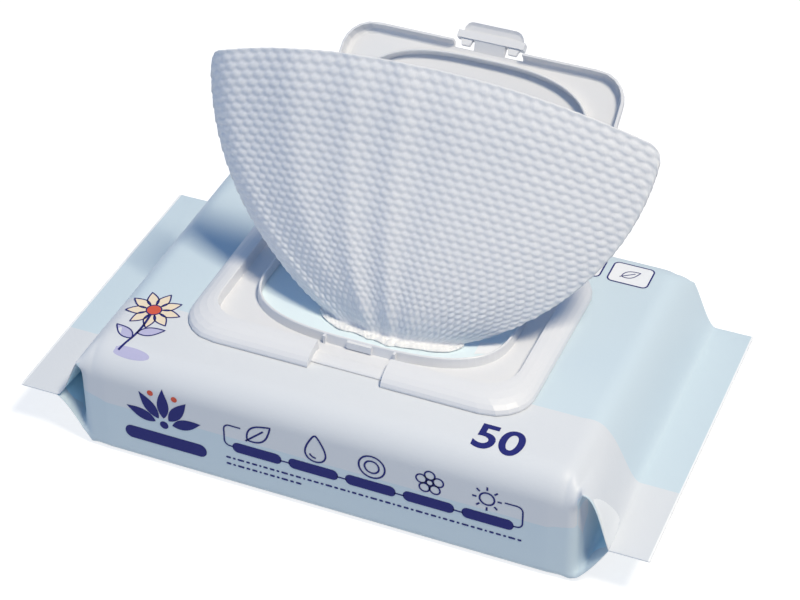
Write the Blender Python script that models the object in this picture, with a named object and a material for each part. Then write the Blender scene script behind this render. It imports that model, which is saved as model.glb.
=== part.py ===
"""Wet wipes pack: a gusseted film pouch round a stack of folded wipes, with a moulded flip-top closure.

Frame: X along the pack, +Y to the hinge side, +Z up, origin at the middle of the flat underside.
Sizes are written in millimetres and turned into metres by MM.
"""
import math

import bmesh
import bpy
import numpy as np

MM = 0.001

# Pouch film
PACK_LENGTH = 240.0          # over the two end fins
BODY_WIDTH = 131.6           # across the pouch, front to back
BODY_HEIGHT = 44.6           # floor to the flat top panel
FILM = 0.4                   # film wall, stiff enough to be a solid
FIN_LENGTH = 14.5            # flat sealed strip at each end
FIN_WIDTH = 128.4
FIN_THICKNESS = 1.0          # four layers pressed together
FIN_HEIGHT = 18.5            # mid-plane of the fins above the floor
FIN_CORNER = 1.6
TOP_EDGE_RADIUS = 11.0       # soft long edges of the top panel
BOTTOM_EDGE_RADIUS = 3.5
CREASE_RADIUS = 0.3          # folded edges near the fins
GUSSET_FROM_FIN = 12.0       # upright creases of the tucked sides, this far before the fin
SHOULDER_FROM_FIN = 21.5     # the top panel starts to roll down this far before the fin
UNDERSIDE_FROM_FIN = 13.5    # the underside starts to rise this far before the fin
UNDERSIDE_POWER = 1.45       # late rise at the right end, early rise at the left end
FRONT_BULGE = 9.5            # the front right corner of the top panel stays up longer than the rest
BULGE_FROM_FIN = 12.5
BULGE_POWER = 1.15
CORNER_ROUND = 4.5           # radius of the upright corners
GUSSET_PANEL = 20.5          # half height of the tucked side panel, measured along the film
CORNER_FROM_GUSSET = 3.0     # the upright corners start to round this far before the creases
CAVITY_STOP = 6.0            # the layers touch this far before the fin
CAVITY_DRAW_IN = 1.6         # the cavity keeps further from the film inside the tucked ends
FOLD_MARGIN = 1.5            # and it stays out of the flat folds at the sides
SHOULDER_POWER = 1.57        # how late and how steeply the shoulder rolls down

# Die-cut dispensing slot in the top panel
SLOT_HALF_LENGTH = 28.0
SLOT_HALF_WIDTH = 19.4
SLOT_CENTRE_X = 4.5
SLOT_POWER = 2.8

# Fits
SEAT_GAP = 0.3               # between pieces that touch or are glued
LID_CLEARANCE = 0.5          # lid wall to frame wall, and latch to notch
PLUG_CLEARANCE = 0.3         # sealing ring inside the frame's rim

# Closure frame
FRAME_HALF_LENGTH = 66.0
FRAME_HALF_WIDTH = 44.0
FRAME_CORNER = 15.0
FRAME_PLATE = 0.7            # flange plate under the bezel and the well
FRAME_HEIGHT = 5.3           # seat to the bezel's inner top edge
CROWN_POWER = 1.8
BEZEL_SIDE = 8.2             # width of the bezel at the two ends
BEZEL_FRONT = 9.7
BEZEL_BACK = 3.25
WELL_CORNER = 12.2
WELL_DRAFT = 0.6             # the well's wall leans out by this much
EDGE_ROUND = 0.3

# Oval rim round the dispensing opening
RIM_FROM_WELL_END = 9.5      # centre line of the rim's top to the well's end wall
RIM_FROM_WELL_FRONT = 5.5
RIM_WALL = 0.9
RIM_HEIGHT = 3.9             # above the well's floor
RIM_FLARE = 0.5              # the rim's outer foot stands this far out
OVAL_POWER = 2.9

# Guides on the front of the rim, and the bar in the front notch
NOTCH_HALF_WIDTH = 13.9
GUIDE_RIB_X = 13.4
GUIDE_RIB_WIDTH = 0.9
GUIDE_PAD_HALF_WIDTH = 4.7
GUIDE_DEPTH = 1.2
GUIDE_TOP_DROP = 0.5         # guides stop this far under the rim's top
GUIDE_PAD_LIFT = 0.6         # undercut below the middle pad
NOTCH_BAR_FRONT = 3.6        # the bar's front foot stands back from the bezel's front
NOTCH_BAR_DEPTH = 5.6
NOTCH_BAR_RISE = 0.6

# Hinge and lid
HINGE_FROM_BACK = 3.4        # axis to the frame's back edge
HINGE_FROM_TOP = 0.1         # axis under the bezel's top
OPEN_ANGLE = 140.0           # the photographed lid stands this far open
LID_STANDS_PROUD = 1.2       # top face of the closed lid over the bezel's top
LID_PLATE = 1.2
LID_WALL = 1.2
LID_CORNER = 11.7
LID_EDGE_FALL = 2.6          # height of the rounded top edge
LID_EDGE_RUN = 3.0
LID_DOME = 0.4
LID_BACK_GAP = 0.8           # hinge axis to the lid's back wall
RING_WALL = 0.9
WEB_THICKNESS = 0.5
WEB_FROM_FRAME_END = 22.0    # the hinge web stops this far before the frame's ends
HINGE_LEDGE_DROP = 0.5       # the frame's back edge lies this far under the hinge axis
HINGE_LEDGE_SPARE = 2.0      # the ledge is longer than the web by this much at each end

# Latch tab on the lid
TAB_STEM_HALF_WIDTH = 6.1
TAB_BAR_BACK = 1.6           # the bar's back face in front of the lid's wall
TAB_BAR_DEPTH = 2.8
TAB_BAR_HEIGHT = 3.9
TAB_LIP_DEPTH = 4.3
TAB_LIP_HALF_WIDTH = 12.0
TAB_LIP_CORNER = 3.5
TAB_LIP_FALL = 2.0
TAB_LIP_PLATE = 1.2
TAB_SLOT_DEPTH = 2.1         # the slots beside the stem reach this far into the lid's front
HOOK_X = 9.4
HOOK_ROOT_HALF_WIDTH = 2.5
HOOK_TIP_HALF_WIDTH = 1.6
HOOK_REACH = 2.6
HOOK_HEIGHT = 1.8

# Wipes
STACK_FROM_FIN = 13.5        # the stack ends this far before the fins
WIPE_THICKNESS = 0.8
WIPE_FOOT_X = 5.0            # middle of the gathered foot
WIPE_DRIFT = 3.3             # the top's middle lies this far to the right of the foot's
WIPE_FOOT_Y = -12.3          # the foot's two ends
WIPE_LEAN = 25.3             # degrees back from upright, before the sheet bows forward
WIPE_FOOT_HALF_WIDTH = 24.6
WIPE_SPREAD = 57.8           # half width gained from the foot to the top
WIPE_SPREAD_START = 0.81
WIPE_SPREAD_POWER = 1.99
WIPE_HEIGHT = 98.8           # foot to the middle of the top edge, along the sheet
WIPE_TOP_FALL = 13.5         # the top edge is lower at its ends
WIPE_CORNER_FALL = 1.4
WIPE_BOW = (4.8, 8.0, 17.6)  # the middle stands in front of the sides: at the foot, halfway, at the top
WIPE_BOW_POWER = 2.5
WIPE_STAND = 10.0            # the top comes forward again by this much
WIPE_TWIST = 5.3             # at the top the right side stands back and the left side forward
WIPE_FOOT_RISE = 0.75        # height of the foot's first turn
GATHER_DEPTH = 1.75
GATHER_DECAY = 1.35
GATHER_FOLDS = (3.15, 3.4, -0.55)   # fold number across the sheet: constant, linear and square terms

# Mesh density
ROUND_STEPS = 72
SLOT_STEPS = 44
ARC_STEPS = 4
WIPE_COLUMNS = 60
WIPE_ROWS = 14

# Worked out from the sizes above
BODY_HALF_WIDTH = BODY_WIDTH / 2.0
FIN_START = PACK_LENGTH / 2.0 - FIN_LENGTH
SHOULDER_START = FIN_START - SHOULDER_FROM_FIN
GUSSET_START = FIN_START - GUSSET_FROM_FIN
CORNER_START = GUSSET_START - CORNER_FROM_GUSSET
STACK_HALF_LENGTH = FIN_START - STACK_FROM_FIN
FRAME_SEAT = BODY_HEIGHT + SEAT_GAP
WELL_FLOOR = FRAME_SEAT + FRAME_PLATE
BEZEL_TOP = FRAME_SEAT + FRAME_HEIGHT
RIM_TOP = WELL_FLOOR + RIM_HEIGHT
HINGE_Y = FRAME_HALF_WIDTH - HINGE_FROM_BACK
HINGE_Z = BEZEL_TOP - HINGE_FROM_TOP
LID_TOP = BEZEL_TOP + LID_STANDS_PROUD
WELL_HALF_LENGTH = FRAME_HALF_LENGTH - BEZEL_SIDE
WELL_FRONT = -FRAME_HALF_WIDTH + BEZEL_FRONT
WELL_BACK = FRAME_HALF_WIDTH - BEZEL_BACK
RIM_HALF_LENGTH = WELL_HALF_LENGTH - RIM_FROM_WELL_END
RIM_HALF_WIDTH = -WELL_FRONT - RIM_FROM_WELL_FRONT
LID_HALF_LENGTH = WELL_HALF_LENGTH - WELL_DRAFT - LID_CLEARANCE
LID_FRONT = WELL_FRONT + WELL_DRAFT + LID_CLEARANCE
LID_BACK = HINGE_Y - LID_BACK_GAP
LID_FOOT = WELL_FLOOR + SEAT_GAP
LID_UNDERSIDE = LID_TOP - LID_PLATE
RING_INSET = RIM_WALL / 2.0 + PLUG_CLEARANCE
RING_HALF_LENGTH = RIM_HALF_LENGTH - RING_INSET
RING_HALF_WIDTH = RIM_HALF_WIDTH - RING_INSET
WEB_HALF_LENGTH = FRAME_HALF_LENGTH - WEB_FROM_FRAME_END


def remove_everything():
    for old in list(bpy.data.objects):
        bpy.data.objects.remove(old, do_unlink=True)


def finish_material(name, colour, roughness):
    material = bpy.data.materials.new(name)
    material.use_nodes = True
    shader = material.node_tree.nodes["Principled BSDF"]
    shader.inputs["Base Color"].default_value = (*colour, 1.0)
    shader.inputs["Roughness"].default_value = roughness
    shader.inputs["Metallic"].default_value = 0.0
    return material


def make_object(name, points, faces, material=None, smooth_angle=35.0):
    """A closed mesh from points in millimetres, with its faces turned outwards."""
    mesh = bpy.data.meshes.new(name)
    mesh.from_pydata((np.asarray(points) * MM).tolist(), [], faces)
    bm = bmesh.new()
    bm.from_mesh(mesh)
    bmesh.ops.recalc_face_normals(bm, faces=bm.faces)
    bm.to_mesh(mesh)
    bm.free()
    mesh.shade_smooth()
    mesh.set_sharp_from_angle(angle=math.radians(smooth_angle))
    thing = bpy.data.objects.new(name, mesh)
    bpy.context.scene.collection.objects.link(thing)
    if material:
        mesh.materials.append(material)
    return thing


def loft(rings, wrap=False):
    """Points and faces of a skin over closed rings of equal count, capped unless the last meets the first."""
    rings = np.asarray(rings)
    count, around = rings.shape[:2]
    index = np.arange(count * around).reshape(count, around)
    steps = count if wrap else count - 1
    faces = []
    for i in range(steps):
        low, high = index[i], index[(i + 1) % count]
        for j in range(around):
            k = (j + 1) % around
            faces.append((int(low[j]), int(low[k]), int(high[k]), int(high[j])))
    if not wrap:
        faces.append(tuple(int(v) for v in index[0]))
        faces.append(tuple(int(v) for v in index[-1]))
    return rings.reshape(-1, 3), faces


def extrude_x(outline, x_start, x_end):
    """A prism whose (y, z) outline runs from x_start to x_end."""
    flat = np.asarray(outline, float)
    rings = [np.column_stack([np.full(len(flat), x), flat]) for x in (x_start, x_end)]
    return loft(rings)


def box(x_low, x_high, y_low, y_high, z_low, z_high):
    return extrude_x([(y_low, z_low), (y_high, z_low), (y_high, z_high), (y_low, z_high)], x_low, x_high)


def tool(name, shape, offset=(0.0, 0.0, 0.0)):
    """A hidden helper solid for a Boolean."""
    points, faces = shape
    helper = make_object(name, np.asarray(points) - np.asarray(offset), faces)
    helper.hide_render = True
    helper.display_type = "WIRE"
    return helper


def combine(thing, helper, operation):
    step = thing.modifiers.new(helper.name, "BOOLEAN")
    step.operation = operation
    step.solver = "EXACT"
    step.object = helper


# Outlines in the XY plane. All rings share the same polar angles, so a skin between any two is even.

def superellipse(turn, half_length, half_width, power):
    """Each axis is its half size times the cosine or sine of the turn, to the power 2 / power."""
    x = half_length * np.sign(np.cos(turn)) * np.abs(np.cos(turn)) ** (2.0 / power)
    y = half_width * np.sign(np.sin(turn)) * np.abs(np.sin(turn)) ** (2.0 / power)
    return x, y


def oval_xy(half_length, half_width):
    turn = np.arange(ROUND_STEPS) * 2.0 * math.pi / ROUND_STEPS
    return superellipse(turn, half_length, half_width, OVAL_POWER)


def oval_ring(half_length, half_width, z):
    x, y = oval_xy(half_length, half_width)
    return np.column_stack([x, y, np.full_like(x, z)])


def rect_ring(half_length, y_front, y_back, corner, z):
    """Rounded rectangle, met by rays from the origin at the oval's polar angles."""
    oval_x, oval_y = oval_xy(RIM_HALF_LENGTH, RIM_HALF_WIDTH)
    angle = np.arctan2(oval_y, oval_x)
    c, s = np.cos(angle), np.sin(angle)
    middle, half_width = (y_front + y_back) / 2.0, (y_back - y_front) / 2.0
    reach_x = half_length / np.maximum(np.abs(c), 1e-9)
    reach_y = np.where(s >= 0, y_back, -y_front) / np.maximum(np.abs(s), 1e-9)
    reach = np.minimum(reach_x, reach_y)
    centre_x = np.sign(c) * (half_length - corner)
    centre_y = middle + np.sign(s) * (half_width - corner)
    in_corner = (np.abs(reach * c) > half_length - corner) & (np.abs(reach * s - middle) > half_width - corner)
    along = c * centre_x + s * centre_y
    across = centre_x ** 2 + centre_y ** 2 - corner ** 2
    on_arc = along + np.sqrt(np.maximum(along ** 2 - across, 0.0))
    reach = np.where(in_corner, on_arc, reach)
    return np.column_stack([reach * c, reach * s, np.full_like(c, z)])


# Film pouch

def share_between(x, start, end):
    return min(max((abs(x) - start) / (end - start), 0.0), 1.0)


def shoulder_drop(x):
    """1 on the flat top, falling to 0 at the fin along a half cosine of the distance to SHOULDER_POWER."""
    share = share_between(x, SHOULDER_START, FIN_START)
    return 0.5 * (1.0 + math.cos(math.pi * share ** SHOULDER_POWER))


def underside_rise(x):
    share = share_between(x, FIN_START - UNDERSIDE_FROM_FIN, FIN_START)
    if x < 0.0:
        return 1.0 - (1.0 - share) ** UNDERSIDE_POWER
    return share ** UNDERSIDE_POWER


def front_bulge(x):
    """The film keeps a swelling over the front right gusset."""
    if x < 0.0:
        return 0.0
    share = share_between(x, FIN_START - BULGE_FROM_FIN, FIN_START)
    return FRONT_BULGE * math.sin(math.pi * share ** BULGE_POWER)


def tuck_depth(x, half_panel):
    """How far the side is folded in: round the upright corner first, then as deep as the side panel's length
    allows while the pouch flattens."""
    turn = min(max(abs(x) - CORNER_START, 0.0), CORNER_ROUND * 0.98)
    corner = CORNER_ROUND - math.sqrt(CORNER_ROUND ** 2 - turn ** 2)
    panel = math.sqrt(max(GUSSET_PANEL ** 2 - half_panel ** 2, 0.0))
    blend = share_between(x, CORNER_START + CORNER_ROUND, CORNER_START + CORNER_ROUND + 3.0)
    if abs(x) >= FIN_START:
        return 0.0
    return corner + (panel - corner) * blend


def half_section(x, inset, bulge):
    """Outward (y, z) points from the middle of the top panel, over the side, to the middle of the underside."""
    fin_low = FIN_HEIGHT - FIN_THICKNESS / 2.0
    fin_high = FIN_HEIGHT + FIN_THICKNESS / 2.0
    tuck = share_between(x, GUSSET_START, FIN_START)
    flare = share_between(x, SHOULDER_START, FIN_START)
    soft = (1.0 - share_between(x, CORNER_START - 1.5, GUSSET_START + 1.5)) ** 0.6
    middle_top = fin_high + (BODY_HEIGHT - fin_high) * shoulder_drop(x)
    top = middle_top + bulge
    bottom = fin_low * underside_rise(x)
    half_panel = (top - bottom) / 2.0
    depth = tuck_depth(x, half_panel)
    outside = BODY_HALF_WIDTH + (FIN_WIDTH / 2.0 - BODY_HALF_WIDTH) * flare
    half_width = outside
    if inset > 0.0:
        half_width -= inset + depth + FOLD_MARGIN * tuck
        depth = 0.0
    top = middle_top + bulge * (half_width / outside) ** 4 - inset
    bottom += inset
    high_radius = CREASE_RADIUS + (TOP_EDGE_RADIUS - CREASE_RADIUS - inset) * soft
    low_radius = CREASE_RADIUS + (BOTTOM_EDGE_RADIUS - CREASE_RADIUS - inset) * soft
    side_high, side_low = top - high_radius, bottom + low_radius
    middle = (side_high + side_low) / 2.0
    arc = np.linspace(0.0, math.pi / 2.0, ARC_STEPS)
    points = [(share * half_width, middle_top - inset + bulge * (share * half_width / outside) ** 4)
              for share in (0.0, 0.3, 0.52, 0.7)]
    points += [(half_width - high_radius * (1.0 - math.sin(a)), top - high_radius * (1.0 - math.cos(a)))
               for a in arc]
    along, deep = 0.25 + 0.25 * tuck, depth * (0.9 - 0.4 * tuck)
    points += [(half_width - deep, side_high + (middle - side_high) * along), (half_width - depth, middle),
               (half_width - deep, side_low + (middle - side_low) * along)]
    points += [(half_width - low_radius * (1.0 - math.cos(a)), bottom + low_radius * (1.0 - math.sin(a)))
               for a in arc]
    return points + [(0.0, bottom)]


def pouch_section(x, inset):
    """(y, z) points round the pouch at one place along it, moved in from the film's outside by inset.

    The tucked side is a trough near the upright corner and a V at the fin. An inner section has straight sides
    inside the tuck, so the folds stay whole.
    """
    front = [(-y, z) for y, z in half_section(x, inset, front_bulge(x))]
    back = [(y, z) for y, z in reversed(half_section(x, inset, 0.0)[1:-1])]
    return np.array(front + back)


def pouch_rings(stations, inset, draw_in=0.0):
    rings = []
    for x in stations:
        section = pouch_section(x, inset + draw_in * share_between(x, GUSSET_START, FIN_START))
        rings.append(np.column_stack([np.full(len(section), x), section]))
    return rings


def both_ways(stations):
    return [-x for x in reversed(stations)] + [x for x in stations if x > 0.0]


def fin_stations():
    """Places along the pouch for the outer skin: close together where it bends."""
    shoulder = [SHOULDER_START + SHOULDER_FROM_FIN * s for s in (0.0, 0.12, 0.22)]
    corner = [CORNER_START + CORNER_ROUND * s for s in (0.0, 0.35, 0.62, 0.82, 0.95)]
    gusset = [GUSSET_START + GUSSET_FROM_FIN * s for s in (0.2, 0.3, 0.42, 0.56, 0.7, 0.82, 0.92, 1.0)]
    return [0.0, SHOULDER_START * 0.6] + shoulder + corner + gusset


def make_pouch(material):
    half_length = PACK_LENGTH / 2.0
    stations = fin_stations() + [half_length - FIN_CORNER, half_length - FIN_CORNER * 0.3, half_length]
    rings = pouch_rings(both_ways(stations), 0.0)
    for ring in rings:
        from_end = half_length - abs(ring[0, 0])
        if from_end < FIN_CORNER:
            trim = FIN_CORNER - math.sqrt(FIN_CORNER ** 2 - (FIN_CORNER - from_end) ** 2)
            ring[:, 1] *= 1.0 - trim / (FIN_WIDTH / 2.0)
    points, faces = loft(rings)
    pouch = make_object("film_pouch", points, faces, material, 40.0)
    inner_end = FIN_START - CAVITY_STOP
    inner = [x for x in fin_stations() if x < inner_end] + [inner_end]
    cavity = pouch_rings(both_ways(inner), FILM, CAVITY_DRAW_IN)
    combine(pouch, tool("pouch_cavity", loft(cavity)), "DIFFERENCE")
    turn = np.arange(SLOT_STEPS) * 2.0 * math.pi / SLOT_STEPS
    x, y = superellipse(turn, SLOT_HALF_LENGTH, SLOT_HALF_WIDTH, SLOT_POWER)
    slot = [np.column_stack([SLOT_CENTRE_X + x, y, np.full(SLOT_STEPS, z)])
            for z in (BODY_HEIGHT - 2.0 * FILM, BODY_HEIGHT + 2.0 * FILM)]
    combine(pouch, tool("pouch_slot", loft(slot)), "DIFFERENCE")
    return pouch


def make_stack(material):
    """The folded wipes fill the pouch between its two shoulders."""
    inner = [x for x in fin_stations() if x < STACK_HALF_LENGTH - 1.0]
    inner += [STACK_HALF_LENGTH - 1.0, STACK_HALF_LENGTH]
    rings = pouch_rings(both_ways(inner), FILM + SEAT_GAP)
    middle = BODY_HEIGHT / 2.0
    for ring in (rings[0], rings[-1]):
        ring[:, 1] *= 0.985
        ring[:, 2] = middle + (ring[:, 2] - middle) * 0.96
    points, faces = loft(rings)
    return make_object("wipes_stack", points, faces, material, 40.0)


def make_pulled_wipe(material):
    """A fan of cloth: gathered at its foot in the slot, spread and bowed towards its top edge.

    The folds run from the foot to the top at a constant share u of the half width. They are a cosine of the fold
    number, which is a square function of u, and they fade towards the top and the right. The sheet's middle bows
    forward of its sides by a power of u, most at the top, and its right side turns back.
    """
    foot_z = BODY_HEIGHT - FILM
    lean = math.radians(WIPE_LEAN)
    across = np.linspace(-1.0, 1.0, WIPE_COLUMNS + 1)
    up = np.linspace(0.0, 1.0, WIPE_ROWS) ** 1.3
    u, s = np.meshgrid(across, np.concatenate([[0.0], up]))
    corner = np.clip((np.abs(u) - 0.9) / 0.1, 0.0, 1.0) ** 2
    v = s * (WIPE_HEIGHT - WIPE_TOP_FALL * np.abs(u) ** 2.2 - WIPE_CORNER_FALL * corner)
    rise = np.clip(v / (WIPE_HEIGHT - WIPE_TOP_FALL), 0.0, 1.0)
    spread = 1.0 - (1.0 - rise ** WIPE_SPREAD_START) ** WIPE_SPREAD_POWER
    half_width = WIPE_FOOT_HALF_WIDTH + WIPE_SPREAD * spread
    half_width[0] -= 1.0
    constant, linear, square = GATHER_FOLDS
    strength = np.exp(-GATHER_DECAY * rise) * (1.0 - 0.5 * np.clip(u / 0.5, 0.0, 1.0))
    gather = GATHER_DEPTH * strength * np.cos(2.0 * math.pi * (constant + linear * u + square * u ** 2))
    gather = gather * np.clip(0.3 + 7.0 * rise, 0.0, 1.0)
    foot_bow, belly, top_bow = WIPE_BOW
    bow = foot_bow * (1.0 - rise) + belly * np.sin(math.pi * rise ** 0.6) + top_bow * rise
    bow = bow * (1.0 - np.abs(u) ** WIPE_BOW_POWER) + WIPE_STAND * rise ** 2
    out = gather + bow - WIPE_TWIST * rise * u
    ahead = np.clip(rise * 8.0, 0.0, 1.0)
    z = foot_z + WIPE_THICKNESS / 2.0 + WIPE_FOOT_RISE + v * math.cos(lean) + out * math.sin(lean) * ahead
    z[0] = foot_z
    centre = np.stack([WIPE_FOOT_X + WIPE_DRIFT * rise + u * half_width,
                       WIPE_FOOT_Y + v * math.sin(lean) - out * math.cos(lean), z], -1)
    normal = np.array([0.0, -math.cos(lean), math.sin(lean)]) * WIPE_THICKNESS / 2.0
    normal = np.broadcast_to(normal, centre.shape).copy()
    normal[:2, :, 2] = 0.0
    front, back = centre + normal, centre - normal
    rows, columns = u.shape
    grid = np.arange(rows * columns).reshape(rows, columns)
    other = grid + rows * columns
    faces = []
    for i in range(rows - 1):
        for j in range(columns - 1):
            faces.append((grid[i, j], grid[i, j + 1], grid[i + 1, j + 1], grid[i + 1, j]))
            faces.append((other[i, j], other[i + 1, j], other[i + 1, j + 1], other[i, j + 1]))
    edge = list(grid[0, :]) + list(grid[1:, -1]) + list(grid[-1, -2::-1]) + list(grid[-2:0:-1, 0])
    for a, b in zip(edge, edge[1:] + edge[:1]):
        faces.append((a, a + rows * columns, b + rows * columns, b))
    faces = [tuple(int(k) for k in face) for face in faces]
    points = np.concatenate([front.reshape(-1, 3), back.reshape(-1, 3)])
    return make_object("pulled_wipe", points, faces, material, 180.0)


# Closure frame

def frame_rings():
    """Section of the frame, walked from its outer foot over the bezel, the well, the rim and back underneath."""
    rings = [rect_ring(FRAME_HALF_LENGTH, -FRAME_HALF_WIDTH, FRAME_HALF_WIDTH, FRAME_CORNER, FRAME_SEAT)]
    for share in (0.0, 0.05, 0.18, 0.38, 0.64, 0.86, 1.0):
        rise = (1.0 - (1.0 - share) ** CROWN_POWER) ** (1.0 / CROWN_POWER)
        rings.append(rect_ring(FRAME_HALF_LENGTH - BEZEL_SIDE * share, -FRAME_HALF_WIDTH + BEZEL_FRONT * share,
                               FRAME_HALF_WIDTH - BEZEL_BACK * share,
                               FRAME_CORNER + (WELL_CORNER - FRAME_CORNER) * share,
                               WELL_FLOOR + (BEZEL_TOP - WELL_FLOOR) * rise))
    for inset, z in ((EDGE_ROUND, BEZEL_TOP - EDGE_ROUND), (WELL_DRAFT, WELL_FLOOR)):
        rings.append(rect_ring(WELL_HALF_LENGTH - inset, WELL_FRONT + inset, WELL_BACK,
                               WELL_CORNER - inset, z))
    half = RIM_WALL / 2.0
    for out, z in ((half + RIM_FLARE, WELL_FLOOR), (half, RIM_TOP - EDGE_ROUND), (half - EDGE_ROUND, RIM_TOP),
                   (EDGE_ROUND - half, RIM_TOP), (-half, RIM_TOP - EDGE_ROUND), (-half, FRAME_SEAT)):
        rings.append(oval_ring(RIM_HALF_LENGTH + out, RIM_HALF_WIDTH + out, z))
    return rings


def make_frame(material):
    points, faces = loft(frame_rings(), wrap=True)
    frame = make_object("lid_base", points, faces, material)
    front = -FRAME_HALF_WIDTH
    notch_back = WELL_FRONT + WELL_DRAFT + EDGE_ROUND
    notch = box(-NOTCH_HALF_WIDTH, NOTCH_HALF_WIDTH, front - 2.0, notch_back, WELL_FLOOR, BEZEL_TOP + 2.0)
    combine(frame, tool("cut_notch", notch), "DIFFERENCE")
    bar_front = front + NOTCH_BAR_FRONT
    open_front = box(-NOTCH_HALF_WIDTH, NOTCH_HALF_WIDTH, front - 2.0, bar_front + 0.8,
                     FRAME_SEAT - 1.0, BEZEL_TOP + 2.0)
    combine(frame, tool("cut_notch_front", open_front), "DIFFERENCE")
    ledge_z = HINGE_Z - HINGE_LEDGE_DROP
    ledge_half = WEB_HALF_LENGTH + HINGE_LEDGE_SPARE
    ledge = box(-ledge_half, ledge_half, LID_BACK, FRAME_HALF_WIDTH + 1.0, ledge_z, BEZEL_TOP + 2.0)
    combine(frame, tool("cut_hinge_ledge", ledge), "DIFFERENCE")
    bar_back = bar_front + NOTCH_BAR_DEPTH
    crest = WELL_FLOOR + NOTCH_BAR_RISE
    bar = [(bar_front, FRAME_SEAT), (bar_back, FRAME_SEAT), (bar_back, WELL_FLOOR), (bar_back - 0.5, crest - 0.15),
           (bar_back - 1.2, crest), (bar_back - 2.4, crest - 0.03), (bar_back - 3.6, crest - 0.2),
           (bar_back - 4.7, crest - 0.55), (bar_front + 0.25, FRAME_SEAT + 0.35)]
    combine(frame, tool("notch_bar", extrude_x(bar, -NOTCH_HALF_WIDTH, NOTCH_HALF_WIDTH)), "UNION")
    guide_front = -(RIM_HALF_WIDTH + RIM_WALL / 2.0 + GUIDE_DEPTH)
    guide_back = -RIM_HALF_WIDTH
    guide_top = RIM_TOP - GUIDE_TOP_DROP
    for side in (-1, 1):
        x = side * GUIDE_RIB_X
        rib = box(x - GUIDE_RIB_WIDTH / 2.0, x + GUIDE_RIB_WIDTH / 2.0, guide_front, guide_back,
                  WELL_FLOOR - FRAME_PLATE / 2.0, guide_top)
        combine(frame, tool("guide_rib_left" if side < 0 else "guide_rib_right", rib), "UNION")
    pad = box(-GUIDE_PAD_HALF_WIDTH, GUIDE_PAD_HALF_WIDTH, guide_front, guide_back,
              WELL_FLOOR + GUIDE_PAD_LIFT, guide_top)
    combine(frame, tool("guide_pad", pad), "UNION")
    return frame


# Lid, built closed and turned open about its hinge

def lid_rect(inset, z):
    return rect_ring(LID_HALF_LENGTH - inset, LID_FRONT + inset, LID_BACK - inset, LID_CORNER - inset, z)


def lid_rings():
    """Section of the lid, walked from its domed top over the edge, up inside and round the sealing ring."""
    rings = []
    for share in (0.25, 0.6, 0.85):
        z = LID_TOP + LID_DOME * (1.0 - share ** 2)
        full = lid_rect(LID_EDGE_RUN, z)
        full[:, :2] *= share
        rings.append(full)
    for angle in (90.0, 65.0, 40.0, 18.0, 0.0):
        a = math.radians(angle)
        rings.append(lid_rect(LID_EDGE_RUN * (1.0 - math.cos(a)), LID_TOP - LID_EDGE_FALL * (1.0 - math.sin(a))))
    rings.append(lid_rect(0.0, LID_FOOT + EDGE_ROUND))
    rings.append(lid_rect(EDGE_ROUND, LID_FOOT))
    rings.append(lid_rect(LID_WALL - EDGE_ROUND, LID_FOOT))
    inner_run, inner_fall = LID_EDGE_RUN - 0.8, LID_EDGE_FALL - 0.8
    for angle in (0.0, 30.0, 60.0, 90.0):
        a = math.radians(angle)
        rings.append(lid_rect(LID_WALL + inner_run * (1.0 - math.cos(a)),
                              LID_UNDERSIDE - inner_fall * (1.0 - math.sin(a))))
    for inset, z in ((0.0, LID_UNDERSIDE), (0.0, LID_FOOT + EDGE_ROUND), (EDGE_ROUND, LID_FOOT),
                     (RING_WALL - EDGE_ROUND, LID_FOOT), (RING_WALL, LID_FOOT + EDGE_ROUND),
                     (RING_WALL, LID_UNDERSIDE)):
        rings.append(oval_ring(RING_HALF_LENGTH - inset, RING_HALF_WIDTH - inset, z))
    return rings


def lip_shape(y_root, z_top):
    """Thumb lip: a thin plate that curves down, its length following a rounded corner at each end."""
    rings = []
    outer = [(0.0, 0.0), (0.35, -0.12), (0.75, -0.5), (1.0, -1.0)]
    for x in (-1.0, -0.97, -0.88, -0.78, -0.7, 0.7, 0.78, 0.88, 0.97, 1.0):
        over = max(abs(x) * TAB_LIP_HALF_WIDTH - (TAB_LIP_HALF_WIDTH - TAB_LIP_CORNER), 0.0) / TAB_LIP_CORNER
        reach = TAB_LIP_DEPTH - TAB_LIP_CORNER * (1.0 - math.sqrt(max(1.0 - over ** 2, 0.0)))
        reach = max(reach, 0.4)
        high = [(y_root - reach * a, z_top + TAB_LIP_FALL * b * reach / TAB_LIP_DEPTH) for a, b in outer]
        low = [(y + 0.25 * (k > 0), z - TAB_LIP_PLATE) for k, (y, z) in enumerate(high)]
        high.insert(0, (y_root + 0.5, z_top))
        low.insert(0, (y_root + 0.5, z_top - TAB_LIP_PLATE))
        section = high + low[::-1]
        rings.append([(x * TAB_LIP_HALF_WIDTH, y, z) for y, z in section])
    return loft(rings)


def hook_shape(x, y_root, z_high):
    """A catch prong: a flat wedge that narrows towards its tip."""
    tip = y_root + HOOK_REACH
    outline = [(x - HOOK_ROOT_HALF_WIDTH, y_root - 0.5), (x + HOOK_ROOT_HALF_WIDTH, y_root - 0.5),
               (x + HOOK_TIP_HALF_WIDTH, tip), (x - HOOK_TIP_HALF_WIDTH, tip)]
    rings = [[(px, py, z) for px, py in outline] for z in (z_high - HOOK_HEIGHT, z_high)]
    return loft(rings)


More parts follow.
